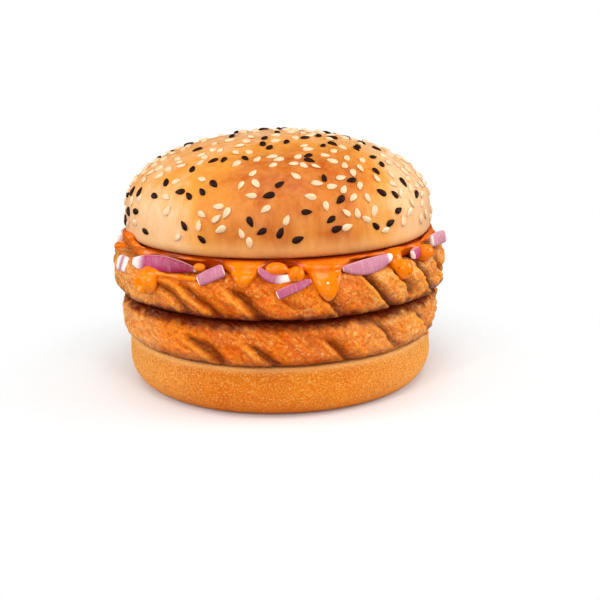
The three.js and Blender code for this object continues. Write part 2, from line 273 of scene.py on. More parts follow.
def floor_disc():
    """A wide round floor, just under the heel's flat base."""
    turns = [TURN * side / FLOOR_SIDES for side in range(FLOOR_SIDES)]
    rim = [(FLOOR_RADIUS * MM * math.cos(turn), FLOOR_RADIUS * MM * math.sin(turn)) for turn in turns]
    mesh = bpy.data.meshes.new("floor")
    mesh.from_pydata([(x, y, -FLOOR_DROP * MM) for x, y in rim], [], [list(range(FLOOR_SIDES))])
    return put_in_scene("floor", mesh)


def floor_finish():
    """Matt and pale, fading into the backdrop with distance so that no horizon shows."""
    material, tree, shader, place = start_finish("pale_floor")
    away = add(tree, "ShaderNodeVectorMath", {0: place}, operation="LENGTH").outputs["Value"]
    fade = stretch(tree, away, FLOOR_FADE_START * MM, FLOOR_FADE_END * MM, 1.0, 0.0,
                   interpolation_type="SMOOTHSTEP")
    fill(tree, shader, {"Base Color": FLOOR_COLOUR, "Roughness": 0.9, "Specular IOR Level": 0.1,
                        "Alpha": fade})
    return material


floor = floor_disc()
paint(floor_finish(), floor)
print("floor radius", FLOOR_RADIUS, "mm")

# %% [markdown]
# ## Shape helpers
# Nearly everything on a burger is round about the middle, so one helper closes a stack of rings into a
# skin. The other helpers give the slow unevenness of food and its small lumps. Blender's own noise could
# move the points too, but numbers worked out here for all points at once are quicker and never change.


# %% Close a stack of rings into a piece
def all_round(count):
    """Angles evenly spaced round a full turn, as one row."""
    return np.linspace(0, TURN, count, endpoint=False)[None, :]


def around_middle(reach, angle, height):
    """Points at those distances from the middle, angles and heights."""
    reach, angle, height = np.broadcast_arrays(reach, angle, height)
    return np.stack([reach * np.cos(angle), reach * np.sin(angle), height], -1)


def shade_smoothly(mesh):
    mesh.polygons.foreach_set("use_smooth", np.ones(len(mesh.polygons), bool))


def make_piece(name, points, faces):
    """A smooth-shaded mesh from points in millimetres."""
    mesh = bpy.data.meshes.new(name)
    mesh.from_pydata((np.asarray(points) * MM).tolist(), [], faces)
    shade_smoothly(mesh)
    mesh.update()
    return put_in_scene(name, mesh)


def skin_faces(ring_count, columns, first=0):
    """Faces between neighbouring rings, with a fan from the lowest point and one to the highest."""
    ring, column = np.meshgrid(np.arange(ring_count - 1), np.arange(columns), indexing="ij")
    start, after = first + 1 + ring * columns, (column + 1) % columns
    quads = np.stack([start + column, start + after, start + columns + after, start + columns + column], -1)
    faces = quads.reshape(-1, 4).tolist()
    low_ring = first + 1
    high_ring = low_ring + (ring_count - 1) * columns
    for here in range(columns):
        beside = (here + 1) % columns
        faces.append([first, low_ring + beside, low_ring + here])
        faces.append([high_ring + here, high_ring + beside, high_ring + columns])
    return faces


def skin_points(rings, lowest, highest):
    """The points of a closed skin, in the order that skin_faces expects."""
    return np.concatenate([[lowest], rings.reshape(-1, 3), [highest]])


def end_points(rings):
    """The middles of the first and the last ring."""
    return rings[0].mean(axis=0), rings[-1].mean(axis=0)


def closed_piece(name, rings, lowest, highest):
    return make_piece(name, skin_points(rings, lowest, highest), skin_faces(*rings.shape[:2]))


print("faces of a skin with 3 rings of 8 points:", len(skin_faces(3, 8)))


# %% Unevenness and lumps
def unevenness(angle, phase):
    """The slow unevenness of baked or grilled food round its middle, about -1 to 1."""
    return (
        0.5 * np.sin(2 * angle + phase)
        + 0.3 * np.sin(3 * angle + 2.3 * phase + 1)
        + 0.2 * np.sin(5 * angle + 3.1 * phase + 2)
    )


def smooth(low, high, x):
    """From 0 at low to 1 at high, with soft ends."""
    share = np.clip((x - low) / (high - low), 0, 1)
    return share * share * (3 - 2 * share)


def power(x, exponent):
    """A power that keeps the sign."""
    return np.sign(x) * np.abs(x) ** exponent


def corner_value(corner, seed):
    """A repeatable number from -1 to 1 for each corner of a lattice."""
    mixed = corner[..., 0] * 73856093 ^ corner[..., 1] * 19349663 ^ corner[..., 2] * 83492791
    mixed = (mixed ^ (seed * 2654435761)) & 0xFFFFFFFF
    mixed = ((mixed ^ (mixed >> 15)) * 2246822519) & 0xFFFFFFFF
    mixed = ((mixed ^ (mixed >> 13)) * 3266489917) & 0xFFFFFFFF
    return ((mixed ^ (mixed >> 16)) & 0xFFFF) / 32767.5 - 1


def lumps(points, size, seed):
    """Smooth random swelling from -1 to 1 at each point, in lumps of about that size."""
    spots = np.asarray(points) / size
    corner = np.floor(spots).astype(np.int64)
    share = smooth(0, 1, spots - corner)
    total = np.zeros(spots.shape[:-1])
    for step in np.ndindex(2, 2, 2):
        weight = np.prod(np.where(np.array(step) == 1, share, 1 - share), axis=-1)
        total += weight * corner_value(corner + np.array(step), seed)
    return total


def draws(seed):
    """Repeatable numbers from 0 to 1."""
    state = seed
    while True:
        state = (state * 1664525 + 1013904223) & 0xFFFFFFFF
        yield state / 4294967296


print("first lumps:", lumps(np.array([[1.0, 2.0, 3.0]]), 5, 1))


# %% What a piece takes from its solid and stores for its finish
def node_heights(node):
    """The lowest and highest point of a solid."""
    low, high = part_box(node)
    return low.z / MM, high.z / MM


def mark(piece, **numbers):
    """Stores one number of each name on each point, which a finish can read."""
    for name, values in numbers.items():
        attribute = piece.data.attributes.new(name, "FLOAT", "POINT")
        attribute.data.foreach_set("value", np.asarray(values, np.float32).ravel())


heel_base, heel_top = node_heights("bun_heel")
lower_bottom, lower_top = node_heights("patty_lower")
upper_bottom, upper_top = node_heights("patty_upper")
sauce_top = node_heights("sauce")[1]
crown_under = node_heights("bun_crown")[0]
print("heel up to", heel_top, "patties up to", lower_top, upper_top, "crown from", crown_under)

# %% [markdown]
# ## Heel
# The lower half of the bun is a flat-based disc of bread with a rounded foot and a cut edge at the top.
# It could be a cylinder with a bevel, but real bread swells unevenly. So an outline is turned about the
# middle, and slow waves and small lumps push it in and out.

# %% Shape the heel
HEEL_RADIUS = 50.6
HEEL_FOOT = 44.0
HEEL_BULGE_HEIGHT = 8.5
HEEL_TAPER = 0.3
HEEL_SIDE_END = 2.3  # how far below the cut face the plain side ends
HEEL_TOP_INSET, HEEL_TOP_ROUNDING = 1.2, 1.6
HEEL_COLUMNS = 360


def quarter_turn(steps):
    """Angles in equal steps up to 90 degrees."""
    return [step / steps * math.pi / 2 for step in range(1, steps + 1)]


def heel_outline():
    """Distance from the middle and height, from under the foot up to the cut face."""
    outline = [(HEEL_FOOT * share, heel_base) for share in (0.5, 0.8, 0.94, 1.0)]
    for turn in quarter_turn(14):
        outward = HEEL_FOOT + (HEEL_RADIUS - HEEL_FOOT) * math.sin(turn)
        outline.append((outward, HEEL_BULGE_HEIGHT * (1 - math.cos(turn))))
    plain_side = heel_top - HEEL_SIDE_END - HEEL_BULGE_HEIGHT
    for share in np.linspace(0.15, 1, 10):
        outline.append((HEEL_RADIUS - HEEL_TAPER * share, HEEL_BULGE_HEIGHT + plain_side * share))
    for turn in quarter_turn(7):
        outward = HEEL_RADIUS - HEEL_TAPER - HEEL_TOP_INSET * (1 - math.cos(turn))
        outline.append((outward, heel_top - HEEL_TOP_ROUNDING * (1 - math.sin(turn))))
    outline += [(HEEL_RADIUS * share, heel_top) for share in (0.93, 0.8, 0.5)]
    return np.array(outline)


def heel_piece():
    outline, angle = heel_outline(), all_round(HEEL_COLUMNS)
    reach, height = outline[:, :1], outline[:, 1:]
    uneven = 0.55 * unevenness(angle, 1.1) * smooth(HEEL_FOOT * 0.6, HEEL_RADIUS, reach)
    on_side = smooth(0.3, 3, height) * smooth(HEEL_FOOT * 0.9, HEEL_RADIUS, reach)
    bare = around_middle(reach, angle, height)
    small = (0.22 * lumps(bare, 9, 3) + 0.10 * lumps(bare, 3.2, 4)) * on_side
    rings = around_middle(reach + uneven + small, angle, height)
    lowest, highest = (0, 0, heel_base), (0, 0, heel_top)
    piece = closed_piece("heel_bread", rings, lowest, highest)
    heights = skin_points(rings, lowest, highest)[:, 2]
    # The number near the foot is for a painted shade that darkens the heel near the floor.
    mark(piece, near_top=smooth(heel_top - 1.8, heel_top - 0.2, heights),
         near_foot=1 - smooth(0.2, 4.5, heights))
    return piece


heel = heel_piece()
print("heel points:", len(heel.data.vertices))

# %% [markdown]
# ## Patties
# A grilled patty is a slab with a full rounded edge. Slanting cuts open as it cooks, the meat between them
# swells into pillows, and its fibres run the way of the cuts. Carving by hand would look good from one side
# only, so the cuts, pillows, fibres and lumps are all worked out from rules that go right round.

# %% Sizes of the patties
CUT_TURN = math.radians(24)
EDGE_FULLNESS = 3.6
# Each cut: its place, its lowest and highest point (-1 is the flat bottom, 1 the flat top), its depth.
# The crease pair: how strongly painted shade darkens the bottom and the top edge, where a neighbour lies.
LOWER_PATTY = {
    "radius": 52.6,
    "bottom": lower_bottom,
    "thickness": lower_top - lower_bottom,
    "edge": 8.0,
    "lump_phase": 0.4,
    "cuts": [(-40.8, -1, 0.35, 1.0), (-27.4, -1, 0.2, 0.9), (-6.1, -1, 0.3, 0.85),
             (12.9, -0.85, 0.85, 0.75), (30, -0.8, 0.7, 0.8), (46, -1, 0.4, 0.8)],
    "cut_width": 1.7,
    "cut_depth": 2.1,
    "cut_lean": 0.95,
    "crease_shade": (0.55, 1.0),
    "seed": 11,
}
UPPER_PATTY = {
    "radius": 55.0,
    "bottom": upper_bottom,
    "thickness": upper_top - upper_bottom,
    "edge": 9.0,
    "lump_phase": 2.2,
    "cuts": [(-47.7, -0.95, 0.5, 0.7), (-41.3, -0.95, 0.6, 0.75), (-30.8, -1, 0.6, 0.85),
             (-19.8, -0.6, 0.2, 0.35), (-8.2, -1, 0.45, 0.8), (9.2, -1, 1, 1.15),
             (19.8, -0.6, 1, 0.9), (29.8, -0.9, 1.1, 1.3), (41, -0.9, 1, 0.9)],
    "cut_width": 1.8,
    "cut_depth": 2.4,
    "cut_lean": 0.85,
    "crease_shade": (1.0, 0.3),
    "seed": 23,
}
print("patty thickness:", LOWER_PATTY["thickness"], UPPER_PATTY["thickness"])


# %% Points of a patty's skin
def edge_shape(edge_turn):
    """How far out and how far up a patty's full rounded edge is, at an angle from its widest line."""
    side, up = np.cos(edge_turn), np.sin(edge_turn)
    far = (np.abs(side) ** EDGE_FULLNESS + np.abs(up) ** EDGE_FULLNESS) ** (1 / EDGE_FULLNESS)
    return side / far, up / far


def uncut_skin(patty, angle, edge_turn, inner=1.0, off=0.0):
    """The skin without its cuts. edge_turn is -90 degrees at the flat bottom and 90 at the flat top."""
    side, up = edge_shape(edge_turn)
    reach = (patty["radius"] - patty["edge"]) * inner + (patty["edge"] + off) * side
    reach = reach * (1 + 0.012 * unevenness(angle, patty["lump_phase"]) * smooth(0.2, 1, inner))
    height = patty["bottom"] + patty["thickness"] / 2 + (patty["thickness"] / 2 + off) * up
    return around_middle(reach, angle, height)


def across_cuts(patty, points):
    """How far along the line that crosses all cuts a point lies. It is the same all along one cut."""
    from_middle = points[..., 2] - patty["bottom"] - patty["thickness"] / 2
    level = points[..., 0] * math.cos(CUT_TURN) + points[..., 1] * math.sin(CUT_TURN)
    return level + patty["cut_lean"] * from_middle


print("widest line and top of the edge:", edge_shape(0.0), edge_shape(math.pi / 2))

# %% Cuts and the slices between them
CUT_WANDER, CUT_FINE_WANDER = 1.1, 0.35
CUT_STEEP, CUT_SLOPING = 0.5, 1.6  # how wide the two sides of a cut are, as shares of its width
LIP_PLACE, LIP_WIDTH, LIP_RISE = -1.9, 0.9, 0.42
SLICE_STEP = 0.55


def cut_profile(patty, points, across, up):
    """How deep in a cut each point is, how near its sharp lip, and which slice it is on."""
    places, lows, highs, depths = np.array(patty["cuts"]).T
    seed = patty["seed"]
    wandered = across + CUT_WANDER * lumps(points, 8, seed + 7)
    wandered = wandered + CUT_FINE_WANDER * lumps(points, 2.4, seed + 8)
    apart = wandered[..., None] - places
    nearest = np.argmin(np.abs(apart), axis=-1)
    apart = np.take_along_axis(apart, nearest[..., None], -1)[..., 0]
    in_range = smooth(lows[nearest] - 0.1, lows[nearest] + 0.25, up)
    in_range = in_range * (1 - smooth(highs[nearest] - 0.4, highs[nearest] + 0.1, up))
    width = patty["cut_width"] * (0.85 + 0.4 * lumps(points, 6, seed + 9))
    width = width * np.where(apart < 0, CUT_STEEP, CUT_SLOPING)
    depth = depths[nearest] * in_range * np.exp(-np.abs(apart / width) ** 1.6)
    lip = depths[nearest] * in_range * np.exp(-(((apart - LIP_PLACE) / LIP_WIDTH) ** 2))
    return depth, lip, np.searchsorted(places, wandered)


print("cuts:", len(LOWER_PATTY["cuts"]), "and", len(UPPER_PATTY["cuts"]))

# %% Relief of a patty
KNOB_DEPTH = 0.5
KNOBS = [(7.5, 1, 2), (3.1, 0.6, 3), (1.5, 0.42, 4), (0.9, 0.3, 6)]  # size, share of the depth, seed
FIBRE_DEPTH = 0.22
FIBRES = [(1.9, 5.5, 1, 0), (0.9, 2.6, 0.6, 1)]  # thickness, length, share of the depth, seed


def fibre_lumps(points, across, thin, long, seed):
    """Lumps drawn out along the fibres, which run the way of the cuts."""
    along = -points[..., 0] * math.sin(CUT_TURN) + points[..., 1] * math.cos(CUT_TURN)
    return lumps(np.stack([across / thin, along / long, points[..., 2] / long], -1), 1, seed)


def patty_relief(patty, points, across, up):
    """How far the skin stands out in millimetres, and the numbers that its finish needs."""
    seed = patty["seed"]
    depth, lip, slice_number = cut_profile(patty, points, across, up)
    ragged = smooth(0.45, 0.9, points[..., 0] / patty["radius"])
    steps = corner_value(np.stack([slice_number, 0 * slice_number, 0 * slice_number], -1), seed + 5)
    slices = SLICE_STEP * (0.6 + ragged) * steps
    fibres = FIBRE_DEPTH * sum(share * fibre_lumps(points, across, thin, long, seed + more)
                               for thin, long, share, more in FIBRES)
    knobs = KNOB_DEPTH * (1 + 0.9 * ragged) * sum(share * lumps(points, size, seed + more)
                                                  for size, share, more in KNOBS)
    return slices + fibres + knobs + LIP_RISE * lip - patty["cut_depth"] * depth, depth, lip


print("kinds of knobs and fibres:", len(KNOBS), len(FIBRES))

# %% Shape a patty
PATTY_COLUMNS = 860
PATTY_EDGE_RINGS = 88
FLAT_SHARE = 0.55  # how far out a ring on each flat face lies
LIFT_SHARE, SINK_SHARE = 0.45, 0.2  # how much of the relief goes up or down, where a neighbour is close


def patty_piece(name, patty):
    angle = all_round(PATTY_COLUMNS)
    edge_turn = np.radians(np.linspace(-90, 90, PATTY_EDGE_RINGS))[:, None]
    skin = uncut_skin(patty, angle, edge_turn)
    across = across_cuts(patty, skin)
    side, up = edge_shape(edge_turn)
    relief, in_cut, lip = patty_relief(patty, skin, across, up + 0 * angle)
    out = around_middle(side, angle, up)
    out = out / np.linalg.norm(out, axis=-1, keepdims=True)
    out[..., 2] *= np.where(up > 0, LIFT_SHARE, SINK_SHARE)
    skin = skin + out * relief[..., None]
    flat_low, flat_high = (uncut_skin(patty, angle, np.full((1, 1), end), FLAT_SHARE)
                           for end in (-math.pi / 2, math.pi / 2))
    rings = np.concatenate([flat_low, skin, flat_high])
    top = patty["bottom"] + patty["thickness"]
    piece = closed_piece(name, rings, (0, 0, patty["bottom"]), (0, 0, top))
    mark(piece, **patty_numbers(patty, skin, up, in_cut, lip, relief, across))
    return piece


def patty_numbers(patty, skin, up, in_cut, lip, relief, across):
    """What the finish needs: pale ends, cuts, lips, high places, crease shade and the line across the cuts.
    """
    seed = patty["seed"]
    # Painted shade in the crease, at the bottom and at the top edge, where a neighbour lies close.
    at_bottom, at_top = patty["crease_shade"]
    ragged_up = up + 0.13 * lumps(skin, 2.2, seed + 12) + 0.08 * lumps(skin, 0.9, seed + 13)
    crease_shade = at_bottom * smooth(0.45, 0.88, -ragged_up) + at_top * smooth(0.45, 0.88, ragged_up)
    # Pale ends: pale cream chunks at the right end, and a painted highlight at the left end.
    pale = smooth(16, 44, skin[..., 0]) * (0.35 + 0.65 * smooth(0.2, 0.8, up))
    pale = (pale + 0.8 * smooth(30, 52, -skin[..., 0])) * (1 - np.clip(crease_shade, 0, 1))
    numbers = {
        "pale": pale,
        "in_cut": np.clip(in_cut, 0, 1),
        "lip": np.clip(lip, 0, 1),
        "stands_out": np.clip(relief / 1.4, -1, 1),
        "painted_crease_shade": crease_shade,
        "across": across,
    }
    flat = np.zeros(PATTY_COLUMNS + 1)  # one flat ring and the point in its middle, at each face
    return {name: np.concatenate([flat, values.ravel(), flat]) for name, values in numbers.items()}


lower_patty = patty_piece("lower_patty", LOWER_PATTY)
upper_patty = patty_piece("upper_patty", UPPER_PATTY)
print("patty points:", len(lower_patty.data.vertices), len(upper_patty.data.vertices))

# %% [markdown]
# ## Sauce
# The sauce is a thick spread that the crown presses outwards, so it runs over the upper patty's edge in
# drips with fat tips. Fluid simulation could make it, but would never land the drips where they are. So
# the spread, drips and rolls are separate closed forms, fused by a voxel remesh and smoothed like a liquid.

# %% Where the sauce runs
SAUCE_RADIUS = 50.0
SAUCE_RIPPLE = 0.6
DRIP_START = 92
sauce_low = upper_top + 0.1
DRIPS = [
    # degrees from the front, width, angle down the patty's edge that it reaches, thickness, and how
    # much of its width it loses on the way
    (-10.2, 10, 27, 1.9, 1.2),
    (15.5, 10, -5, 2.0, 1.12),
    (0.5, 6.4, 58, 1.6, 0.2),
    (6.4, 4.8, 50, 1.6, 0.2),
    (43.2, 6.6, 18, 1.8, 0.5),
    (58.4, 5.8, 42, 1.8, 0.3),
    (-44, 7.6, 10, 1.3, 0.1),
    (-84, 11, 40, 1.4, 0.9),
    (104, 9, 26, 1.7, 0.7),
    (139, 13, 6, 1.7, 0.95),
    (184, 9, 10, 1.8, 0.6),
    (221, 14, -8, 1.7, 0.95),
    (249, 6, 34, 1.8, 0.5),
]
ROLLS = [
    # from and to, degrees from the front, then height, reach and thickness of a roll under the crown's rim
    (-92, -52, 48.5, 50.4, 1.1),
    (-72, -60, 50.4, 51.0, 1.3),
    (-62, -22, 47.6, 49.6, 0.6),
    (24, 70, 47.7, 49.8, 0.75),
    (62, 96, 48.3, 50.4, 1.1),
    (100, 152, 48.2, 50.2, 1.2),
    (166, 200, 48.0, 50.2, 1.1),
    (202, 262, 48.2, 50.2, 1.2),
    # a roll below the long strip at the left
    (-50, -24, 43.0, 53.9, 0.95),
]
BULGES = [
    # degrees from the front, half the width in degrees, and how far the spread stands out there
    (-9.8, 6.0, 3.6),
    (15.2, 6.8, 3.8),
    (2.6, 5.2, -3.6),
    (-24, 7, -2.8),
    (-40, 9, -2.4),
    (43.2, 3.6, 2.8),
    (58.4, 3.2, 2.2),
    (30, 6, -2.0),
    (139, 7, 3),
    (221, 7, 3),
]
BEADS = [
    # degrees from the front, height, reach, then half its width, height and depth: fat drops of sauce
    (0.3, 46.3, 51.8, 3.3, 2.0, 2.6),
    (6.3, 45.0, 53.4, 2.4, 2.4, 2.4),
    (43.4, 43.0, 54.9, 2.6, 3.0, 2.3),
    (58.2, 45.6, 53.4, 2.7, 2.5, 2.6),
    (-44.2, 40.2, 55.2, 4.3, 3.9, 2.3),
    (-24.5, 46.2, 52.4, 2.0, 1.2, 1.6),
]
CURL = (-44, 40.0, 57.6, 1.8, 2.3, 0.8)  # degrees from the front, height, reach, half sizes, thickness
print("drips, rolls and beads:", len(DRIPS), len(ROLLS), len(BEADS))


# %% The spread and its drips
def sauce_layer():
    """The spread between patty and crown: its rings, its lowest and its highest point."""
    angle = all_round(240)
    middle, half = (sauce_low + sauce_top) / 2, (sauce_top - sauce_low) / 2
    turn = np.radians(np.linspace(-90, 90, 13))[:, None]
    ripple = SAUCE_RIPPLE * (np.sin(5 * angle + 1) + 0.6 * np.sin(9 * angle))
    ripple = ripple + 0.45 * lumps(around_middle(SAUCE_RADIUS, angle, 0), 5, 31)
    bulge = 0 * angle
    for at, half_wide, stands_out in BULGES:
        apart = (np.degrees(angle) + 90 - at + 180) % 360 - 180
        bulge = bulge + stands_out * np.exp(-np.abs(apart / half_wide) ** 3)
    reach = SAUCE_RADIUS - half + half * np.cos(turn) + (ripple + bulge) * np.cos(turn) ** 0.7
    rings = around_middle(reach, angle, middle + half * np.sin(turn))
    return rings, (0, 0, sauce_low), (0, 0, sauce_top)


def drip_rings(at, width, drop, thick, narrowing):
    """A drip's rounded section, swept down over the upper patty's uncut skin."""
    share = np.linspace(0, 1, 44)[:, None] ** 0.9
    section = all_round(22)
    swell = np.sqrt(np.clip(1 - share**6, 0.015, 1))
    half_wide = width / 2 * (1 + narrowing * (0.42 - share)) * swell
    bead = 1 + 0.3 * np.exp(-(((share - 0.84) / 0.16) ** 2))
    height = thick * (0.8 + 0.2 * share) * swell * bead
    sideways = half_wide * np.cos(section)
    rim = 1 + 0.35 * np.abs(np.cos(section)) ** 4 * smooth(0.3, 0.75, share)
    off = height * rim * power(np.maximum(np.sin(section), 0), 0.6) - 0.9 * (np.sin(section) <= 0)
    turn = np.radians(DRIP_START + (drop - DRIP_START) * share) + 0 * section
    wobble = 0.5 * lumps(np.stack([6 * share, 0 * share + at, 0 * share], -1), 2.2, 77)
    angle = math.radians(at - 90) + (sideways + wobble) / UPPER_PATTY["radius"]
    return uncut_skin(UPPER_PATTY, angle, turn, 1.0, off)


print("rings of a drip:", drip_rings(*DRIPS[0]).shape)


# %% Rolls, beads and a curl
def roll_rings(start, end, height, reach, thick):
    """A thin roll of sauce squeezed out under the crown's rim."""
    share = np.linspace(0, 1, 60)[:, None]
    section = -all_round(12)
    angle = np.radians(start + (end - start) * share - 90)
    path = around_middle(reach, angle, 0)
    fat = thick * np.sqrt(np.clip(1 - (2 * share - 1) ** 6, 0.02, 1))
    fat = fat * (0.9 + 0.4 * lumps(path, 6, 41) + 0.25 * lumps(path, 2.6, 42))
    return around_middle(reach + fat * np.cos(section), angle, height + fat * np.sin(section))


def bead_rings(at, height, reach, half_wide, half_tall, half_deep):
    """A fat drop: a ball stretched along the rim, upwards and outwards."""
    rise = np.radians(np.linspace(-80, 80, 16))[:, None]
    section = all_round(24)
    along = half_wide * np.cos(rise) * np.cos(section)
    outwards = reach + half_deep * np.cos(rise) * np.sin(section)
    return around_middle(outwards, math.radians(at - 90) - along / reach, height + half_tall * np.sin(rise))


def curl_rings(at, height, reach, half_wide, half_tall, fat):
    """A thread of sauce that has fallen in a curl on top of a drop."""
    share = np.linspace(0, 1, 60)[:, None]
    along_turn = np.radians(120 + 320 * share)
    section = -all_round(12)
    thread = fat * np.sqrt(np.clip(1 - (2 * share - 1) ** 8, 0.04, 1))
    sideways = (half_wide + thread * np.cos(section)) * np.cos(along_turn)
    upwards = height + (half_tall + thread * np.cos(section)) * np.sin(along_turn)
    return around_middle(reach + thread * np.sin(section), math.radians(at - 90) + sideways / reach, upwards)


print("rings of the curl:", curl_rings(*CURL).shape)

# %% Fuse the sauce
SAUCE_VOXEL = 0.45
SAUCE_SMOOTHING = 0.5
SAUCE_SMOOTHING_ROUNDS = 5


def sauce_forms():
    """All closed forms of the sauce in one mesh, not fused yet."""
    forms = [drip_rings(*drip) for drip in DRIPS] + [roll_rings(*roll) for roll in ROLLS]
    forms += [bead_rings(*bead) for bead in BEADS] + [curl_rings(*CURL)]
    points, faces, first = [], [], 0
    for rings, lowest, highest in [sauce_layer()] + [(rings, *end_points(rings)) for rings in forms]:
        points.append(skin_points(rings, lowest, highest))
        faces += skin_faces(*rings.shape[:2], first=first)
        first += len(points[-1])
    return make_piece("sauce_parts", np.concatenate(points), faces)


def settle(parts, name):
    """Fuses closed parts by voxels and smooths the result, and keeps it as a new piece."""
    fuse = parts.modifiers.new("fuse", "REMESH")
    fuse.mode = "VOXEL"
    fuse.voxel_size = SAUCE_VOXEL * MM
    relax = parts.modifiers.new("relax", "SMOOTH")
    relax.factor = SAUCE_SMOOTHING
    relax.iterations = SAUCE_SMOOTHING_ROUNDS
    seen = parts.evaluated_get(bpy.context.evaluated_depsgraph_get())
    mesh = bpy.data.meshes.new_from_object(seen)
    mesh.name = name
    shade_smoothly(mesh)
    piece = put_in_scene(name, mesh)
    bpy.data.objects.remove(parts)
    return piece


sauce = settle(sauce_forms(), "sauce_spread")
print("sauce points:", len(sauce.data.vertices))

# %% [markdown]
# ## Onion
# Each strip is a slice of a red onion ring: curved like the ring, purple on its outer skin and nearly white
# at its cut ends. A plain bent bar would do for the shape, but the softened edges and the fine fibres that
# cross it make it look juicy. Every strip stands for one solid, in the same place.

# %% Where the strips lie
STRIPS = [
    # at, reach, height, length, tall, thick, bend, yaw, pitch, roll, rise of the ends, height at the left
    # and right end as a share of tall, then how purple from 0 to 1, and how much is white at each end
    (-41, 52.6, 45.7, 28, 4.8, 2, 44, 0, 4, 14, -0.9, 0.8, 0.25, 1.0, 8.5, 0.1),
    (-63, 53.9, 42.4, 6, 5.2, 1.8, 40, 8, 0, 20, 0, 0.8, 0.8, 0.2, 3.4, 2.2),
    (-20, 53.6, 44.4, 8, 3.8, 1.8, 50, 14, 24, 22, 0, 0.85, 1, 0.45, 0.4, 0.1),
    (-0.4, 53.4, 43.9, 9.5, 2.8, 2.2, 24, 0, -14, 24, 1.6, 0.75, 0.95, 0.65, 0.1, 5),
    (5.4, 55.3, 41.6, 10.4, 2.6, 1, 60, 10, 19, 22, 0, 1, 0.5, 0.75, 0.3, 0.2),
    (30.6, 52.8, 45.4, 17, 4.6, 2, 38, 0, 6, 14, 1.1, 0.35, 0.4, 0.32, 0.1, 2.5),
    (53.5, 52.2, 45.9, 4.5, 3.4, 2, 30, 8, 4, 10, 0, 0.9, 0.9, 0.9, 0.1, 0.1),
    (75, 53.2, 46.9, 9, 4.2, 2, 30, -22, 2, 10, 0, 0.9, 0.9, 0.1, 0.6, 2),
    (121, 52.4, 46.2, 21, 4.6, 2, 42, 0, 3, 12, 0.6, 0.4, 0.7, 0.8, 1, 4),
    (162, 52.6, 46, 15, 4.2, 2, 40, -6, -5, 14, -0.5, 0.7, 0.4, 0.3, 2, 1),
    (203, 52.4, 46.2, 18, 4.6, 2, 42, 3, 4, 12, 0.8, 0.4, 0.4, 0.55, 1, 1),
    (238, 53, 45.4, 10, 3.8, 2, 40, 12, 16, 18, 0, 0.9, 0.6, 0.35, 2, 0.5),
    (266, 52.6, 46, 11, 4.4, 2, 36, -4, -4, 12, 0.5, 0.6, 0.8, 0.7, 0.6, 3),
]
print("strips to shape:", len(STRIPS))

# %% Shape the strips
STRIP_STATIONS, STRIP_SIDES = 48, 20
STRIP_SQUARENESS = 0.6  # 1 is a round section, and less is squarer
STRIP_LUMP = 0.14


def strip_bar(length, tall, thick, bend, rise, left, right, seed):
    """A strip along x, bowed like the ring it was cut from, with the share of its length and its height."""
    even = np.linspace(0, 1, STRIP_STATIONS)
    share = 0.5 - 0.5 * np.cos(math.pi * even) * 0.35 - 0.65 * (0.5 - even)
    share = ((share - share[0]) / (share[-1] - share[0]))[:, None]
    section = -all_round(STRIP_SIDES)
    along = (share - 0.5) * length
    turn = along / bend
    bevel = 0.8 + 0.2 * smooth(0, 0.5, np.minimum(share, 1 - share) * length)
    towards_end = (2 * share - 1) ** 2
    half_tall = tall / 2 * (1 - (1 - np.where(share < 0.5, left, right)) * towards_end)
    up = power(np.sin(section), STRIP_SQUARENESS)
    across = power(np.cos(section), STRIP_SQUARENESS) * thick / 2 * bevel
    across = across + STRIP_LUMP * lumps(np.stack(np.broadcast_arrays(along, 2 * up, seed), -1), 2.6, seed)
    bar = np.stack([
        bend * np.sin(turn) + across * np.sin(turn),
        bend * (1 - np.cos(turn)) - across * np.cos(turn),
        rise * towards_end + up * half_tall * bevel,
    ], -1)
    return bar, share + 0 * up, up + 0 * share


def whole_strip(values):
    """The numbers of a strip's rings, and of the point at each end."""
    values = values.ravel()
    return np.concatenate([values[:1], values, values[-1:]])


def strip_piece(number, at, reach, height, length, tall, thick, bend, yaw, pitch, roll, rise,
                left, right, purple, white_left, white_right):
    bar, share, up = strip_bar(length, tall, thick, bend, rise, left, right, number)
    piece = closed_piece(f"onion_strip_{number:02d}", bar, *end_points(bar))
    out = math.radians(at - 90)
    place = Matrix.Translation(Vector((reach * math.cos(out), reach * math.sin(out), height)) * MM)
    heading = Matrix.Rotation(math.radians(at + yaw), 4, "Z")
    lift = Matrix.Rotation(math.radians(-pitch), 4, "Y")
    lean = Matrix.Rotation(math.radians(-roll), 4, "X")
    piece.data.transform(place @ heading @ lift @ lean)
    from_left, from_right = share * length, (1 - share) * length
    white = np.maximum(1 - smooth(0.35 * white_left, white_left, from_left),
                       1 - smooth(0.35 * white_right, white_right, from_right))
    mark(piece, upright=whole_strip(up), lengthwise=whole_strip(from_left), near_end=whole_strip(white),
         purple=np.full(len(piece.data.vertices), purple))
    return piece


strips = [strip_piece(number, *strip) for number, strip in enumerate(STRIPS, start=1)]
print("onion strips:", len(strips))

# %% [markdown]
# ## Crown
# The upper half of the bun is a dome that bulges over its rim, browned on top and pale round the bottom.
# It could be a squashed sphere, but a real one is fuller at its shoulders. So the dome follows powers of
# sine and cosine. The numbers of how brown it is, with painted light that pales its flanks, are stored on
# its points for the material.

# %% Form of the dome
CROWN_RADIUS = 50.0
CROWN_WIDE = 51.6  # the height of its widest line
CROWN_HEIGHT = 29.0
CROWN_ACROSS = 1.13
CROWN_UP = 0.7
DENT_X, DENT_Y, DENT_REACH, DENT_DEPTH = -1.0, -24.0, 9.0, 0.7


def crown_waves(angle):
    """How much wider or narrower than a circle the crown is."""
    return 1 + 0.01 * unevenness(angle, 0.7)


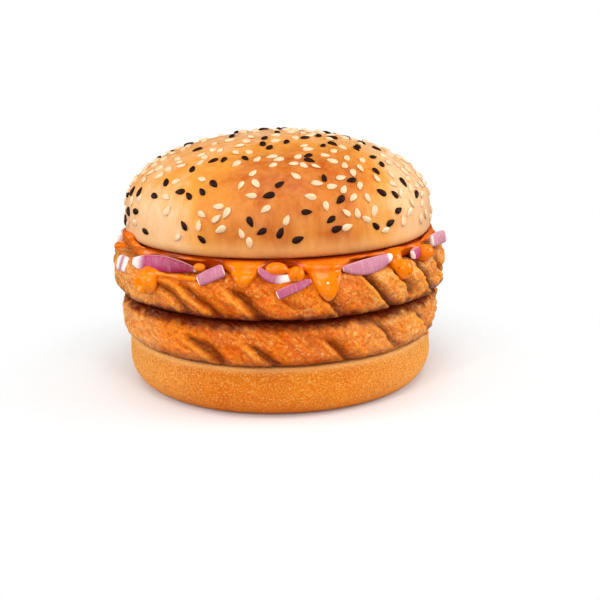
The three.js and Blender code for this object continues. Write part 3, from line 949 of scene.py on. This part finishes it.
def crown_point(fall, angle):
    """A point of the dome. fall is 0 at the top and 90 degrees at the widest line."""
    reach = CROWN_RADIUS * crown_waves(angle) * np.sin(fall) ** CROWN_ACROSS
    x, y = reach * np.cos(angle), reach * np.sin(angle)
    z = CROWN_WIDE + CROWN_HEIGHT * np.maximum(np.cos(fall), 0) ** CROWN_UP
    dent = np.hypot(x - DENT_X, y - DENT_Y) / DENT_REACH
    return np.stack([x, y, z - DENT_DEPTH * np.exp(-(dent**2))], -1)


print("top of the dome:", crown_point(0.0, 0.0))

# %% How brown the crown is, with painted light on its flanks
BAKED_ALL_OVER = 0.52
BAKED_CLOUDS = [(20, 0.16, 51), (7, 0.15, 52), (2.8, 0.1, 55)]  # size, strength, seed
BAKED_SPOTS = [
    # x, y, reach and strength of the deeper brown places on the dome
    (1, -39, 13.5, 0.74),
    (22, -37, 13, 0.5),
    (-18, 30, 20, 0.35),
    (16, 34, 16, 0.3),
]
# Flanks and lower left: partly a paler crust, partly painted light from the soft lights at each side.
FLANK_START, FLANK_END = 18.0, 46.0  # distance from the middle plane over which the flanks turn pale
LEFT_PALE_AND_LIT, RIGHT_PALE_AND_LIT = 0.3, 0.6
LOWER_LEFT_PALE_AND_LIT, TOP_PALER = 0.3, 0.26


def how_baked(points):
    """From 0, pale dough, to about 1, deep orange brown, with painted light that pales the flanks."""
    x, y, height = np.moveaxis(points, -1, 0)
    baked = BAKED_ALL_OVER
    for size, strength, seed in BAKED_CLOUDS:
        baked = baked + strength * lumps(points, size, seed)
    # Painted light: the left and right flanks and the lower left turn paler, partly from the side lights.
    paler = np.where(x < 0, LEFT_PALE_AND_LIT, RIGHT_PALE_AND_LIT)
    baked = baked - paler * smooth(FLANK_START, FLANK_END, np.abs(x))
    baked = baked - LOWER_LEFT_PALE_AND_LIT * smooth(12, 34, -x) * (1 - smooth(56, 68, height))
    baked = baked - TOP_PALER * smooth(71, 80, height)
    for spot_x, spot_y, reach, strength in BAKED_SPOTS:
        away = np.hypot(x - spot_x, y - spot_y) / reach
        baked = baked + strength * np.exp(-(away**2))
    return np.clip(baked, 0, 1)


print("baked at the front of the dome:", how_baked(crown_point(math.radians(60), -math.pi / 2)[None]))

# %% Shape the crown
CROWN_INSET = 2.6  # how far the underside draws in under the widest line
CROWN_COLUMNS = 480
CROWN_RIM_STEPS = 10


def crown_piece():
    angle = all_round(CROWN_COLUMNS)
    fall = np.radians(np.concatenate([np.linspace(90, 60, 32), np.linspace(59, 1.5, 70)]))[:, None]
    dome = crown_point(fall, angle)
    dome[..., 2] += (0.16 * lumps(dome, 11, 53) + 0.07 * lumps(dome, 4, 54)) * smooth(0, 0.5, np.cos(fall))
    rim = [(CROWN_RADIUS * 0.5, crown_under), (CROWN_RADIUS - CROWN_INSET - 1, crown_under)]
    for step in range(CROWN_RIM_STEPS):
        turn = step / CROWN_RIM_STEPS * math.pi / 2
        reach = CROWN_RADIUS - CROWN_INSET + CROWN_INSET * math.sin(turn)
        rim.append((reach, CROWN_WIDE - (CROWN_WIDE - crown_under) * math.cos(turn)))
    rim = np.array(rim)
    rings = np.concatenate([around_middle(rim[:, :1] * crown_waves(angle), angle, rim[:, 1:]), dome])
    lowest, highest = (0, 0, crown_under), crown_point(np.zeros(1), np.zeros(1))[0]
    piece = closed_piece("crown_crust", rings, lowest, highest)
    points = skin_points(rings, lowest, highest)
    mark(piece, baked=how_baked(points), pale_rim=1 - smooth(crown_under + 1, crown_under + 7, points[:, 2]))
    return piece


crown = crown_piece()
print("crown points:", len(crown.data.vertices))

# %% [markdown]
# ## Sesame
# Seeds are thrown at the dome one by one and kept where none lies too near, more of them at the right of
# the top. A particle system could scatter them, but its copies aren't real meshes in the end. So every
# seed is modelled, and those of one colour are joined into one piece.

# %% Throw the seeds
SEED_COUNT = 400
SEED_SPACING = 2.9
SEED_LOWEST = 0.06
DENSE_FALL, DENSE_ANGLE, DENSE_REACH = math.radians(36), math.radians(-38), 19


def seed_cover(fall, angle):
    """How thickly the seeds lie: fewer near the rim, and a denser patch on the right of the top."""
    point = crown_point(fall, angle)
    away = np.linalg.norm(point - crown_point(DENSE_FALL, DENSE_ANGLE)) / DENSE_REACH
    clumps = 0.25 * float(lumps(point, 9, 61))
    return 0.55 + clumps + 0.5 * math.exp(-(away**2)) - 0.28 * (1 - smooth(52, 66, point[2]))


def throw_seeds():
    """Heights are drawn evenly, because an even band of height holds about as much crust everywhere."""
    draw = draws(41)
    places, kept = [], np.empty((0, 3))
    while len(places) < SEED_COUNT:
        height_share = SEED_LOWEST + (1 - SEED_LOWEST) * next(draw)
        fall = math.acos(height_share ** (1 / CROWN_UP))
        angle = next(draw) * TURN
        heading = next(draw) * TURN
        size = 0.9 + 0.2 * next(draw)
        wanted = next(draw) < seed_cover(fall, angle)
        point = crown_point(fall, angle)
        free = len(kept) == 0 or np.linalg.norm(kept - point, axis=1).min() > SEED_SPACING
        if wanted and free:
            places.append((fall, angle, heading, size))
            kept = np.vstack([kept, point])
    return places


seed_places = throw_seeds()
print("seeds:", len(seed_places))

# %% Form of one seed
SEED_LENGTH = 3.4
SEED_WIDTH = 2.1
SEED_THICK = 1.15
SEED_STATIONS, SEED_SIDES = 9, 10


def seed_form():
    """One drop-shaped seed lying flat, pointed at +x, and how near each point is to its middle line."""
    share = np.linspace(-0.96, 0.97, SEED_STATIONS)[:, None]
    section = all_round(SEED_SIDES)
    full = (1 - share) ** 0.8 * (1 + share) ** 0.48 / 1.16
    y = SEED_WIDTH / 2 * full * np.cos(section)
    z = SEED_THICK / 2 * full * np.sin(section)
    rings = np.stack([SEED_LENGTH / 2 * share + 0 * section, y, z], -1)
    points = skin_points(rings, (-SEED_LENGTH / 2, 0, 0), (SEED_LENGTH / 2, 0, 0))
    middle = 1 - smooth(0.15, 0.75, np.abs(points[:, 1]) / (SEED_WIDTH / 2))
    return points, skin_faces(SEED_STATIONS, SEED_SIDES), middle


form, form_faces, form_middle = seed_form()
print("points of a seed:", len(form))

# %% Lay the seeds on the crust
SEED_RAISED = 0.22
SEED_TILT = 0.6


def crown_normal(fall, angle):
    """The direction that points straight out of the dome."""
    step = 0.01
    down = crown_point(fall + step, angle) - crown_point(fall - step, angle)
    round_ = crown_point(fall, angle + step) - crown_point(fall, angle - step)
    normal = np.cross(down, round_)
    return normal / np.linalg.norm(normal)


def lie_on_crust(fall, angle, heading, size, wobble):
    """Turns a seed to its heading, tips it slightly and sets it on the dome, nearly half sunk."""
    normal = Vector(crown_normal(fall, angle))
    upright = Vector((0, 0, 1)).rotation_difference(normal).to_matrix()
    tip = Matrix.Rotation(wobble, 3, "X")
    turned = np.array(upright @ Matrix.Rotation(heading, 3, "Z") @ tip)
    return form * size @ turned.T + crown_point(fall, angle) + np.array(normal) * SEED_RAISED


def black_share(fall, angle):
    """The share of black seeds: more of them low on the dome, and few on its right flank."""
    at_x, _, height = crown_point(fall, angle)
    return (0.27 + 0.33 * (1 - smooth(55, 70, height))) * (1 - 0.8 * smooth(22, 40, at_x))


def seed_pieces():
    choose, tilt = draws(97), draws(131)
    kinds = {"cream_seeds": [], "black_seeds": []}
    for fall, angle, heading, size in seed_places:
        kind = "black_seeds" if next(choose) < black_share(fall, angle) else "cream_seeds"
        wobble = (next(tilt) - 0.5) * SEED_TILT
        kinds[kind].append(lie_on_crust(fall, angle, heading, size, wobble))
    pieces = {}
    for name, laid in kinds.items():
        faces = [[corner + index * len(form) for corner in face]
                 for index in range(len(laid)) for face in form_faces]
        pieces[name] = make_piece(name, np.concatenate(laid), faces)
        mark(pieces[name], seed_middle=np.tile(form_middle, len(laid)))
        print(name, len(laid))
    return pieces


seeds = seed_pieces()

# %% [markdown]
# ## Surface effects that several finishes share
# Bread, meat, sauce and onion all vary in colour from place to place, are wet in spots and have small
# specks. Each effect is one node group with named inputs, so a finish states its own scale and strength.
# Painted images would show seams and fixed detail, and these effects have none at any distance.

# %% Start and place a group
NUMBER, COLOUR, PLACE = "NodeSocketFloat", "NodeSocketColor", "NodeSocketVector"
ORIGIN = (0, 0, 0)


def start_group(name, inputs, outputs):
    """A new node group with those inputs and outputs."""
    tree = bpy.data.node_groups.new(name, "ShaderNodeTree")
    for label, kind, default in inputs:
        tree.interface.new_socket(name=label, in_out="INPUT", socket_type=kind).default_value = default
    for label, kind in outputs:
        tree.interface.new_socket(name=label, in_out="OUTPUT", socket_type=kind)
    return tree, add(tree, "NodeGroupInput").outputs, add(tree, "NodeGroupOutput")


def place_group(tree, group, values):
    """Puts a group into a finish, with that finish's own values, and gives its outputs."""
    return add(tree, "ShaderNodeGroup", values, node_tree=group).outputs


print("sockets:", NUMBER, COLOUR, PLACE)


# %% Mottling, grain, flecks and moisture
def mottling_group():
    """Two colours that run into each other in soft patches."""
    tree, given, out = start_group(
        "mottling",
        [("Place", PLACE, ORIGIN), ("Base", COLOUR, WHITE), ("Patch", COLOUR, WHITE),
         ("Scale", NUMBER, 100), ("Amount", NUMBER, 0.5)],
        [("Color", COLOUR)],
    )
    patches = stretch(tree, noise(tree, given["Place"], given["Scale"], 4.0, 0.6), 0.35, 0.68)
    share = times(tree, patches, given["Amount"])
    fill(tree, out, {"Color": blend_colours(tree, share, given["Base"], given["Patch"])})
    return tree


def grain_group():
    """The fine pimpled height of baked dough or cooked meat."""
    tree, given, out = start_group(
        "grain",
        [("Place", PLACE, ORIGIN), ("Scale", NUMBER, 900), ("Fine Share", NUMBER, 0.4)],
        [("Height", NUMBER)],
    )
    coarse = noise(tree, given["Place"], given["Scale"], 3.0, 0.55)
    fine = noise(tree, given["Place"], times(tree, given["Scale"], 3.1), 2.0)
    fill(tree, out, {"Height": calculate(tree, "MULTIPLY_ADD", fine, given["Fine Share"], coarse)})
    return tree


def flecks_group():
    """Small separate specks: 1 on a speck and 0 between."""
    tree, given, out = start_group(
        "flecks",
        [("Place", PLACE, ORIGIN), ("Scale", NUMBER, 400), ("Size", NUMBER, 0.15), ("Share", NUMBER, 0.4)],
        [("Mask", NUMBER)],
    )
    cells = add(tree, "ShaderNodeTexVoronoi", {"Vector": given["Place"], "Scale": given["Scale"]})
    inside = calculate(tree, "LESS_THAN", cells.outputs["Distance"], given["Size"])
    split = add(tree, "ShaderNodeSeparateColor", {"Color": cells.outputs["Color"]})
    chosen = calculate(tree, "LESS_THAN", split.outputs[0], given["Share"])
    fill(tree, out, {"Mask": times(tree, inside, chosen)})
    return tree


def moisture_group():
    """Roughness that drops where the surface is wet."""
    tree, given, out = start_group(
        "moisture",
        [("Place", PLACE, ORIGIN), ("Scale", NUMBER, 300), ("Wet", NUMBER, 0.2), ("Dry", NUMBER, 0.6)],
        [("Roughness", NUMBER)],
    )
    cloud = noise(tree, given["Place"], given["Scale"], 3.0)
    fill(tree, out, {"Roughness": stretch(tree, cloud, 0.38, 0.62, given["Wet"], given["Dry"])})
    return tree


mottling, grain, flecks, moisture = mottling_group(), grain_group(), flecks_group(), moisture_group()
print("effects:", mottling.name, grain.name, flecks.name, moisture.name)

# %% [markdown]
# ## Finish of the crown
# Egg-washed crust is golden, deeper orange where the oven was hottest and cream round the rim. Its flanks
# are paler, partly from a paler crust and partly as painted light from the soft lights at the sides. Its
# sheen is soft. One colour with noise would look like clay, so the stored numbers of baking and of painted
# light steer the colour and the noise only breaks it up.

# %% Crust
CRUST_PALE = linear("E8BA8E")
CRUST_GOLD = linear("E08F32")
CRUST_DEEP = linear("B44E00")
CRUST_RIM = linear("EFBE7C")
CRUST_SPOT = linear("F0A03A")
WRINKLE_STRETCH = 0.35  # wrinkles run up and down, so they vary less with height
GLOW_IN_BREAD = (3 * MM, 1.5 * MM, 0.6 * MM)  # how far red, green and blue light go into bread


def crust_finish():
    material, tree, shader, place = start_finish("baked_crust")
    x, y, z = axes(tree, place)
    wrinkle_place = join_axes(tree, x, y, times(tree, z, WRINKLE_STRETCH))
    wrinkles = noise(tree, wrinkle_place, 420.0, 4.0, 0.65)
    # The stored numbers carry painted light on the flanks as well as how baked the crust is.
    baked = calculate(tree, "ADD", stored(tree, "baked"), stretch(tree, wrinkles, 0.3, 0.7, -0.13, 0.13))
    colour = blend_colours(tree, stretch(tree, baked, 0.0, 0.5), CRUST_PALE, CRUST_GOLD)
    colour = blend_colours(tree, stretch(tree, baked, 0.5, 1.05), colour, CRUST_DEEP)
    colour = blend_colours(tree, times(tree, stored(tree, "pale_rim"), 0.5), colour, CRUST_RIM)
    spots = place_group(tree, mottling, {"Place": place, "Base": colour, "Patch": CRUST_SPOT,
                                         "Scale": 180.0, "Amount": 0.24})
    floured = place_group(tree, mottling, {"Place": wrinkle_place, "Base": spots["Color"],
                                           "Patch": CRUST_RIM, "Scale": 300.0, "Amount": 0.12})
    damp = place_group(tree, moisture, {"Place": place, "Scale": 160.0, "Wet": 0.34, "Dry": 0.5})
    fill(tree, shader, {"Base Color": floured["Color"], "Roughness": damp["Roughness"],
                        "Specular IOR Level": 0.2, "Subsurface Weight": 0.05,
                        "Subsurface Radius": GLOW_IN_BREAD})
    pores = place_group(tree, grain, {"Place": wrinkle_place, "Scale": 420.0, "Fine Share": 0.5})
    raise_surface(tree, shader, pores["Height"], 0.32, 0.9)
    return material


paint(crust_finish(), crown)

# %% [markdown]
# ## Finish of the heel
# The heel's side is drier than the crown, matt and as finely pimpled as orange peel, with a thin pale line
# where the knife went through. Painted shade darkens it towards its foot, and painted light from the soft
# lights pales its left and right sides. A bump map alone would leave its colour flat, so the same noise
# raises the pimples and tints their tops and the pits between them.

# %% Heel bread
HEEL_GOLD = linear("E0821C")
HEEL_DARK = linear("CA640C")
HEEL_SIDE_LIGHT = linear("F2B45A")
HEEL_CUT = linear("F2C07A")
HEEL_FOOT_SHADE = linear("B4580A")
PEEL_LIGHT = linear("F9CE7E")
PEEL_DARK = linear("B85808")


def heel_finish():
    material, tree, shader, place = start_finish("heel_bread")
    spots = place_group(tree, mottling, {"Place": place, "Base": HEEL_DARK, "Patch": HEEL_GOLD,
                                         "Scale": 55.0, "Amount": 0.75})
    # Painted light: the left and right sides, which face the soft lights, turn paler.
    sideways = calculate(tree, "ABSOLUTE", axes(tree, place)[0])
    side_lit = stretch(tree, sideways, 20 * MM, 50 * MM, 0.0, 0.6)
    side_lit_colour = blend_colours(tree, side_lit, spots["Color"], HEEL_SIDE_LIGHT)
    pimples = noise(tree, place, 1900.0, 1.5)
    tops = stretch(tree, pimples, 0.52, 0.68, 0.0, 0.3)
    pits = times(tree, stretch(tree, pimples, 0.48, 0.32), stretch(tree, side_lit, 0.0, 0.6, 0.45, 0.85))
    colour = blend_colours(tree, pits, blend_colours(tree, tops, side_lit_colour, PEEL_LIGHT), PEEL_DARK)
    colour = blend_colours(tree, times(tree, stored(tree, "near_top"), 0.5), colour, HEEL_CUT)
    # Painted shade darkens the heel towards its foot, near the floor.
    colour = blend_colours(tree, times(tree, stored(tree, "near_foot"), 0.5), colour, HEEL_FOOT_SHADE)
    fill(tree, shader, {"Base Color": colour, "Roughness": 0.8, "Specular IOR Level": 0.1,
                        "Subsurface Weight": 0.04, "Subsurface Radius": GLOW_IN_BREAD})
    raise_surface(tree, shader, pimples, 0.4, 1.0)
    return material


paint(heel_finish(), heel)

# %% [markdown]
# ## Finish of the patties
# Grilled meat is orange brown with golden streaks. A painted highlight makes it golden on its high places
# and on the lips of its cuts, and painted light from the soft lights pales its left and right sides.
# Painted shade makes it deep red brown in the cuts and in the crease between the patties. It glistens in
# small spots, and some glints are painted as pale specks. The stored numbers of the relief choose the
# colour, and streaks that follow the fibres break it up. A plain brown with bumps would look like clay.

# %% Grilled meat
MEAT_GOLD = linear("FFA030")
MEAT_BROWN = linear("EE5E04")
MEAT_SEARED = linear("B44002")
MEAT_DEEP = linear("581402")
MEAT_CREASE_SHADE = linear("600E01")
MEAT_PALE = linear("FFD488")
MEAT_PAINTED_GLINT = linear("FFD08A")
MEAT_GLINT = (1.0, 0.66, 0.28, 1.0)  # what meat reflects is warm, because its juices are
FIBRE_SQUEEZE = 3.4  # how much faster the streaks change across the fibres than along them


def meat_noises(tree, place):
    """Streaks, threads, crumbs, fine grain and wet places, all from noise."""
    _, y, z = axes(tree, place)
    streak_place = join_axes(tree, times(tree, stored(tree, "across"), MM * FIBRE_SQUEEZE), y, z)
    return {
        "streak_place": streak_place,
        "streaks": noise(tree, streak_place, 150.0, 5.0, 0.65),
        "threads": noise(tree, streak_place, 330.0, 3.0, 0.6),
        "crumbs": place_group(tree, grain, {"Place": place, "Scale": 520.0, "Fine Share": 0.8})["Height"],
        "fine": noise(tree, place, 1000.0, 3.0, 0.7),
        "wet": noise(tree, place, 130.0, 2.0),
    }


def grilled_colour(tree, place, made):
    """Golden, brown and seared meat, with painted light on high places and sides, before ends, lips, cuts,
    creases.
    """
    golden = times(tree, stretch(tree, made["streaks"], 0.36, 0.66), 0.4)
    # Painted highlight: the meat turns more golden where the relief stands out.
    raised = stretch(tree, stored(tree, "stands_out"), -0.6, 0.8)
    golden = calculate(tree, "MULTIPLY_ADD", raised, 0.3, golden)
    golden = calculate(tree, "ADD", golden, stretch(tree, made["threads"], 0.36, 0.64, -0.08, 0.12))
    golden = calculate(tree, "ADD", golden, stretch(tree, made["fine"], 0.38, 0.64, -0.24, 0.4))
    # Painted light: the left and right sides, which face the soft lights, turn golden and less seared.
    sideways = calculate(tree, "ABSOLUTE", axes(tree, place)[0])
    side_lit = stretch(tree, sideways, 10 * MM, 40 * MM)
    golden = calculate(tree, "MULTIPLY_ADD", side_lit, 0.3, golden)
    seared = stretch(tree, side_lit, 0.0, 1.0, 0.7, 0.4)
    patches = place_group(tree, mottling, {
        "Place": made["streak_place"], "Base": blend_colours(tree, golden, MEAT_BROWN, MEAT_GOLD),
        "Patch": MEAT_SEARED, "Scale": 95.0, "Amount": seared})
    charred = stretch(tree, made["fine"], 0.45, 0.32, 0.0, 0.55)
    return blend_colours(tree, charred, patches["Color"], MEAT_SEARED)


def meat_finish():
    material, tree, shader, place = start_finish("grilled_meat")
    made = meat_noises(tree, place)
    pale = times(tree, stored(tree, "pale"), stretch(tree, made["crumbs"], 0.75, 1.05))
    wet = stretch(tree, made["wet"], 0.42, 0.58)
    # Painted glints: pale warm specks where the meat is wet.
    painted_glints = times(tree, stretch(tree, made["fine"], 0.58, 0.68), wet)
    colour = grilled_colour(tree, place, made)
    for share, shade in [
        # Pale ends: pale chunks at the right, and a painted highlight at the left.
        (times(tree, pale, 0.8), MEAT_PALE),
        # Painted highlight: the sharp lips of the cuts turn golden.
        (times(tree, stored(tree, "lip"), 0.6), MEAT_GOLD),
        # Painted glints as pale specks.
        (times(tree, painted_glints, 0.75), MEAT_PAINTED_GLINT),
        # Painted shade: the cuts turn deep red brown.
        (stretch(tree, stored(tree, "in_cut"), 0.04, 0.75, 0.0, 0.76), MEAT_DEEP),
        # Painted shade: the crease between the patties turns dark red brown.
        (times(tree, stored(tree, "painted_crease_shade"), 0.95), MEAT_CREASE_SHADE),
    ]:
        colour = blend_colours(tree, share, colour, shade)
    fill(tree, shader, {"Base Color": colour, "Specular Tint": MEAT_GLINT,
                        "Specular IOR Level": stretch(tree, wet, 0.0, 1.0, 0.1, 0.75),
                        "Roughness": stretch(tree, made["wet"], 0.4, 0.58, 0.42, 0.15)})
    height = times(tree, made["crumbs"], 0.65)
    for name, share in (("streaks", 1.1), ("threads", 0.4), ("fine", 0.2)):
        height = calculate(tree, "MULTIPLY_ADD", made[name], share, height)
    raise_surface(tree, shader, height, 0.8, 1.0)
    return material


paint(meat_finish(), lower_patty, upper_patty)

# %% [markdown]
# ## Finish of the sauce
# It is a bright orange emulsion, smooth and wet, with tiny dark specks of spice. The wet look comes from a
# low roughness and a clear coat over it. It is lighter where it hangs thick, and under the crown's rim a
# painted shade makes it deep red brown, since the soft lights alone leave it too bright there. Painting by
# hand would be lost with every new drip, so both shades are worked out from where a point lies.

# %% Orange sauce
SAUCE_ORANGE = linear("F27E00")
SAUCE_DEEP = linear("E25400")
SAUCE_THICK = linear("F89406")
SAUCE_SHADED = linear("9E2C00")
SPICE = linear("7A3208")


def sauce_finish():
    material, tree, shader, place = start_finish("orange_sauce")
    spots = place_group(tree, mottling, {"Place": place, "Base": SAUCE_ORANGE, "Patch": SAUCE_DEEP,
                                         "Scale": 150.0, "Amount": 0.7})
    low = stretch(tree, axes(tree, place)[2], 46.5 * MM, 40 * MM, 0.0, 0.4)
    colour = blend_colours(tree, low, spots["Color"], SAUCE_THICK)
    level = add(tree, "ShaderNodeVectorMath", {0: place, 1: (1, 1, 0)}, operation="MULTIPLY").outputs[0]
    from_middle = add(tree, "ShaderNodeVectorMath", {0: level}, operation="LENGTH").outputs["Value"]
    # Painted shade: under the crown's rim the sauce turns deep red brown.
    under_rim = stretch(tree, from_middle, 51.4 * MM, 48.6 * MM, 0.0, 0.9)
    colour = blend_colours(tree, under_rim, colour, SAUCE_SHADED)
    spice = place_group(tree, flecks, {"Place": place, "Scale": 700.0, "Size": 0.22, "Share": 0.14})
    colour = blend_colours(tree, times(tree, spice["Mask"], 0.7), colour, SPICE)
    damp = place_group(tree, moisture, {"Place": place, "Scale": 240.0, "Wet": 0.2, "Dry": 0.36})
    fill(tree, shader, {"Base Color": colour, "Roughness": damp["Roughness"], "Specular IOR Level": 0.05,
                        "Coat Weight": 0.6, "Coat Roughness": 0.04})
    ripples = place_group(tree, grain, {"Place": place, "Scale": 300.0, "Fine Share": 0.1})
    raise_surface(tree, shader, ripples["Height"], 0.35, 0.8)
    return material


paint(sauce_finish(), sauce)

# %% [markdown]
# ## Finish of the onion
# A strip is purple in the middle of its outer face, paler along its top edge and almost white at its cut
# ends, with fine lines across it. The strips differ, so each one stores how purple it is, and one finish
# serves them all. Thirteen separate finishes would be hard to keep alike.

# %% Red onion
ONION_PALE = linear("F0DADC")
ONION_LILAC = linear("C8909C")
ONION_PURPLE = linear("AE2E62")
ONION_DEEP = linear("86182E")
ONION_CLOUD = linear("9C2A5E")
ONION_WHITE = linear("F8F0EA")


def onion_finish():
    material, tree, shader, place = start_finish("red_onion")
    upright, lengthwise, purple = stored(tree, "upright"), stored(tree, "lengthwise"), stored(tree, "purple")
    lines_place = join_axes(tree, lengthwise, times(tree, upright, 0.3), purple)
    lines = noise(tree, lines_place, 1.5, 3.0, 0.6)
    skin = blend_colours(tree, purple, ONION_LILAC, ONION_PURPLE)
    deep = times(tree, stretch(tree, lengthwise, 10.0, 25.0, 0.0, 0.85), purple)
    clouds = place_group(tree, mottling, {
        "Place": place, "Base": blend_colours(tree, deep, skin, ONION_DEEP), "Patch": ONION_CLOUD,
        "Scale": 150.0, "Amount": 0.2})
    colour = blend_colours(tree, stretch(tree, lines, 0.5, 0.85, 0.0, 0.24), clouds["Color"], ONION_PALE)
    colour = blend_colours(tree, stretch(tree, upright, 0.85, 1.0, 0.0, 0.45), colour, ONION_PALE)
    colour = blend_colours(tree, times(tree, stored(tree, "near_end"), 0.9), colour, ONION_WHITE)
    damp = place_group(tree, moisture, {"Place": place, "Scale": 300.0, "Wet": 0.18, "Dry": 0.38})
    fill(tree, shader, {"Base Color": colour, "Roughness": damp["Roughness"], "Specular IOR Level": 0.3,
                        "Subsurface Weight": 0.12, "Subsurface Radius": (2 * MM, 1 * MM, 1.5 * MM)})
    raise_surface(tree, shader, lines, 0.18, 0.8)
    return material


paint(onion_finish(), *strips)

# %% [markdown]
# ## Finish of the seeds
# Hulled sesame is cream with a faint darker middle, and black sesame is a brown black with a low sheen.
# A plain white and black would look like plastic beads, so one rule darkens the middle of both kinds.

# %% Cream and black sesame
CREAM_EDGE, CREAM_MIDDLE = linear("F2D6B2"), linear("DCB080")
BLACK_EDGE, BLACK_MIDDLE = linear("30140A"), linear("1C0A06")


def seed_finish(name, edge, middle, roughness, shine):
    material, tree, shader, place = start_finish(name)
    colour = blend_colours(tree, times(tree, stored(tree, "seed_middle"), 0.6), edge, middle)
    spots = place_group(tree, mottling, {"Place": place, "Base": colour, "Patch": middle,
                                         "Scale": 260.0, "Amount": 0.3})
    fill(tree, shader, {"Base Color": spots["Color"], "Roughness": roughness, "Specular IOR Level": shine})
    fine = place_group(tree, grain, {"Place": place, "Scale": 1800.0, "Fine Share": 0.3})
    raise_surface(tree, shader, fine["Height"], 0.05, 0.5)
    return material


paint(seed_finish("cream_sesame", CREAM_EDGE, CREAM_MIDDLE, 0.45, 0.2), seeds["cream_seeds"])
paint(seed_finish("black_sesame", BLACK_EDGE, BLACK_MIDDLE, 0.4, 0.1), seeds["black_seeds"])

# %% [markdown]
# ## Fit the pieces to the solids
# Each piece rides with the one body, and a list pairs it with the solid it stands for. The solids of the
# same food are then hidden, and stay for collision. The seeds stand on the crown, whose solid carries them
# as well.

# %% Say what each piece stands for
STANDS_FOR = [
    (heel, ["bun_heel"], "heel_bread"),
    (lower_patty, ["patty_lower"], "grilled_patty"),
    (upper_patty, ["patty_upper"], "grilled_patty"),
    (sauce, ["sauce"], "orange_sauce"),
    (crown, ["bun_crown"], "bun_crust"),
    (seeds["cream_seeds"], ["bun_crown"], "cream_seed"),
    (seeds["black_seeds"], ["bun_crown"], "black_seed"),
]
STANDS_FOR += [(strip, [f"onion_{number:02d}"], "red_onion") for number, strip in enumerate(strips, start=1)]

for piece, solids, finish_name in STANDS_FOR:
    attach(piece, "root")
    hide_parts(*solids)
print("pieces:", len(STANDS_FOR))
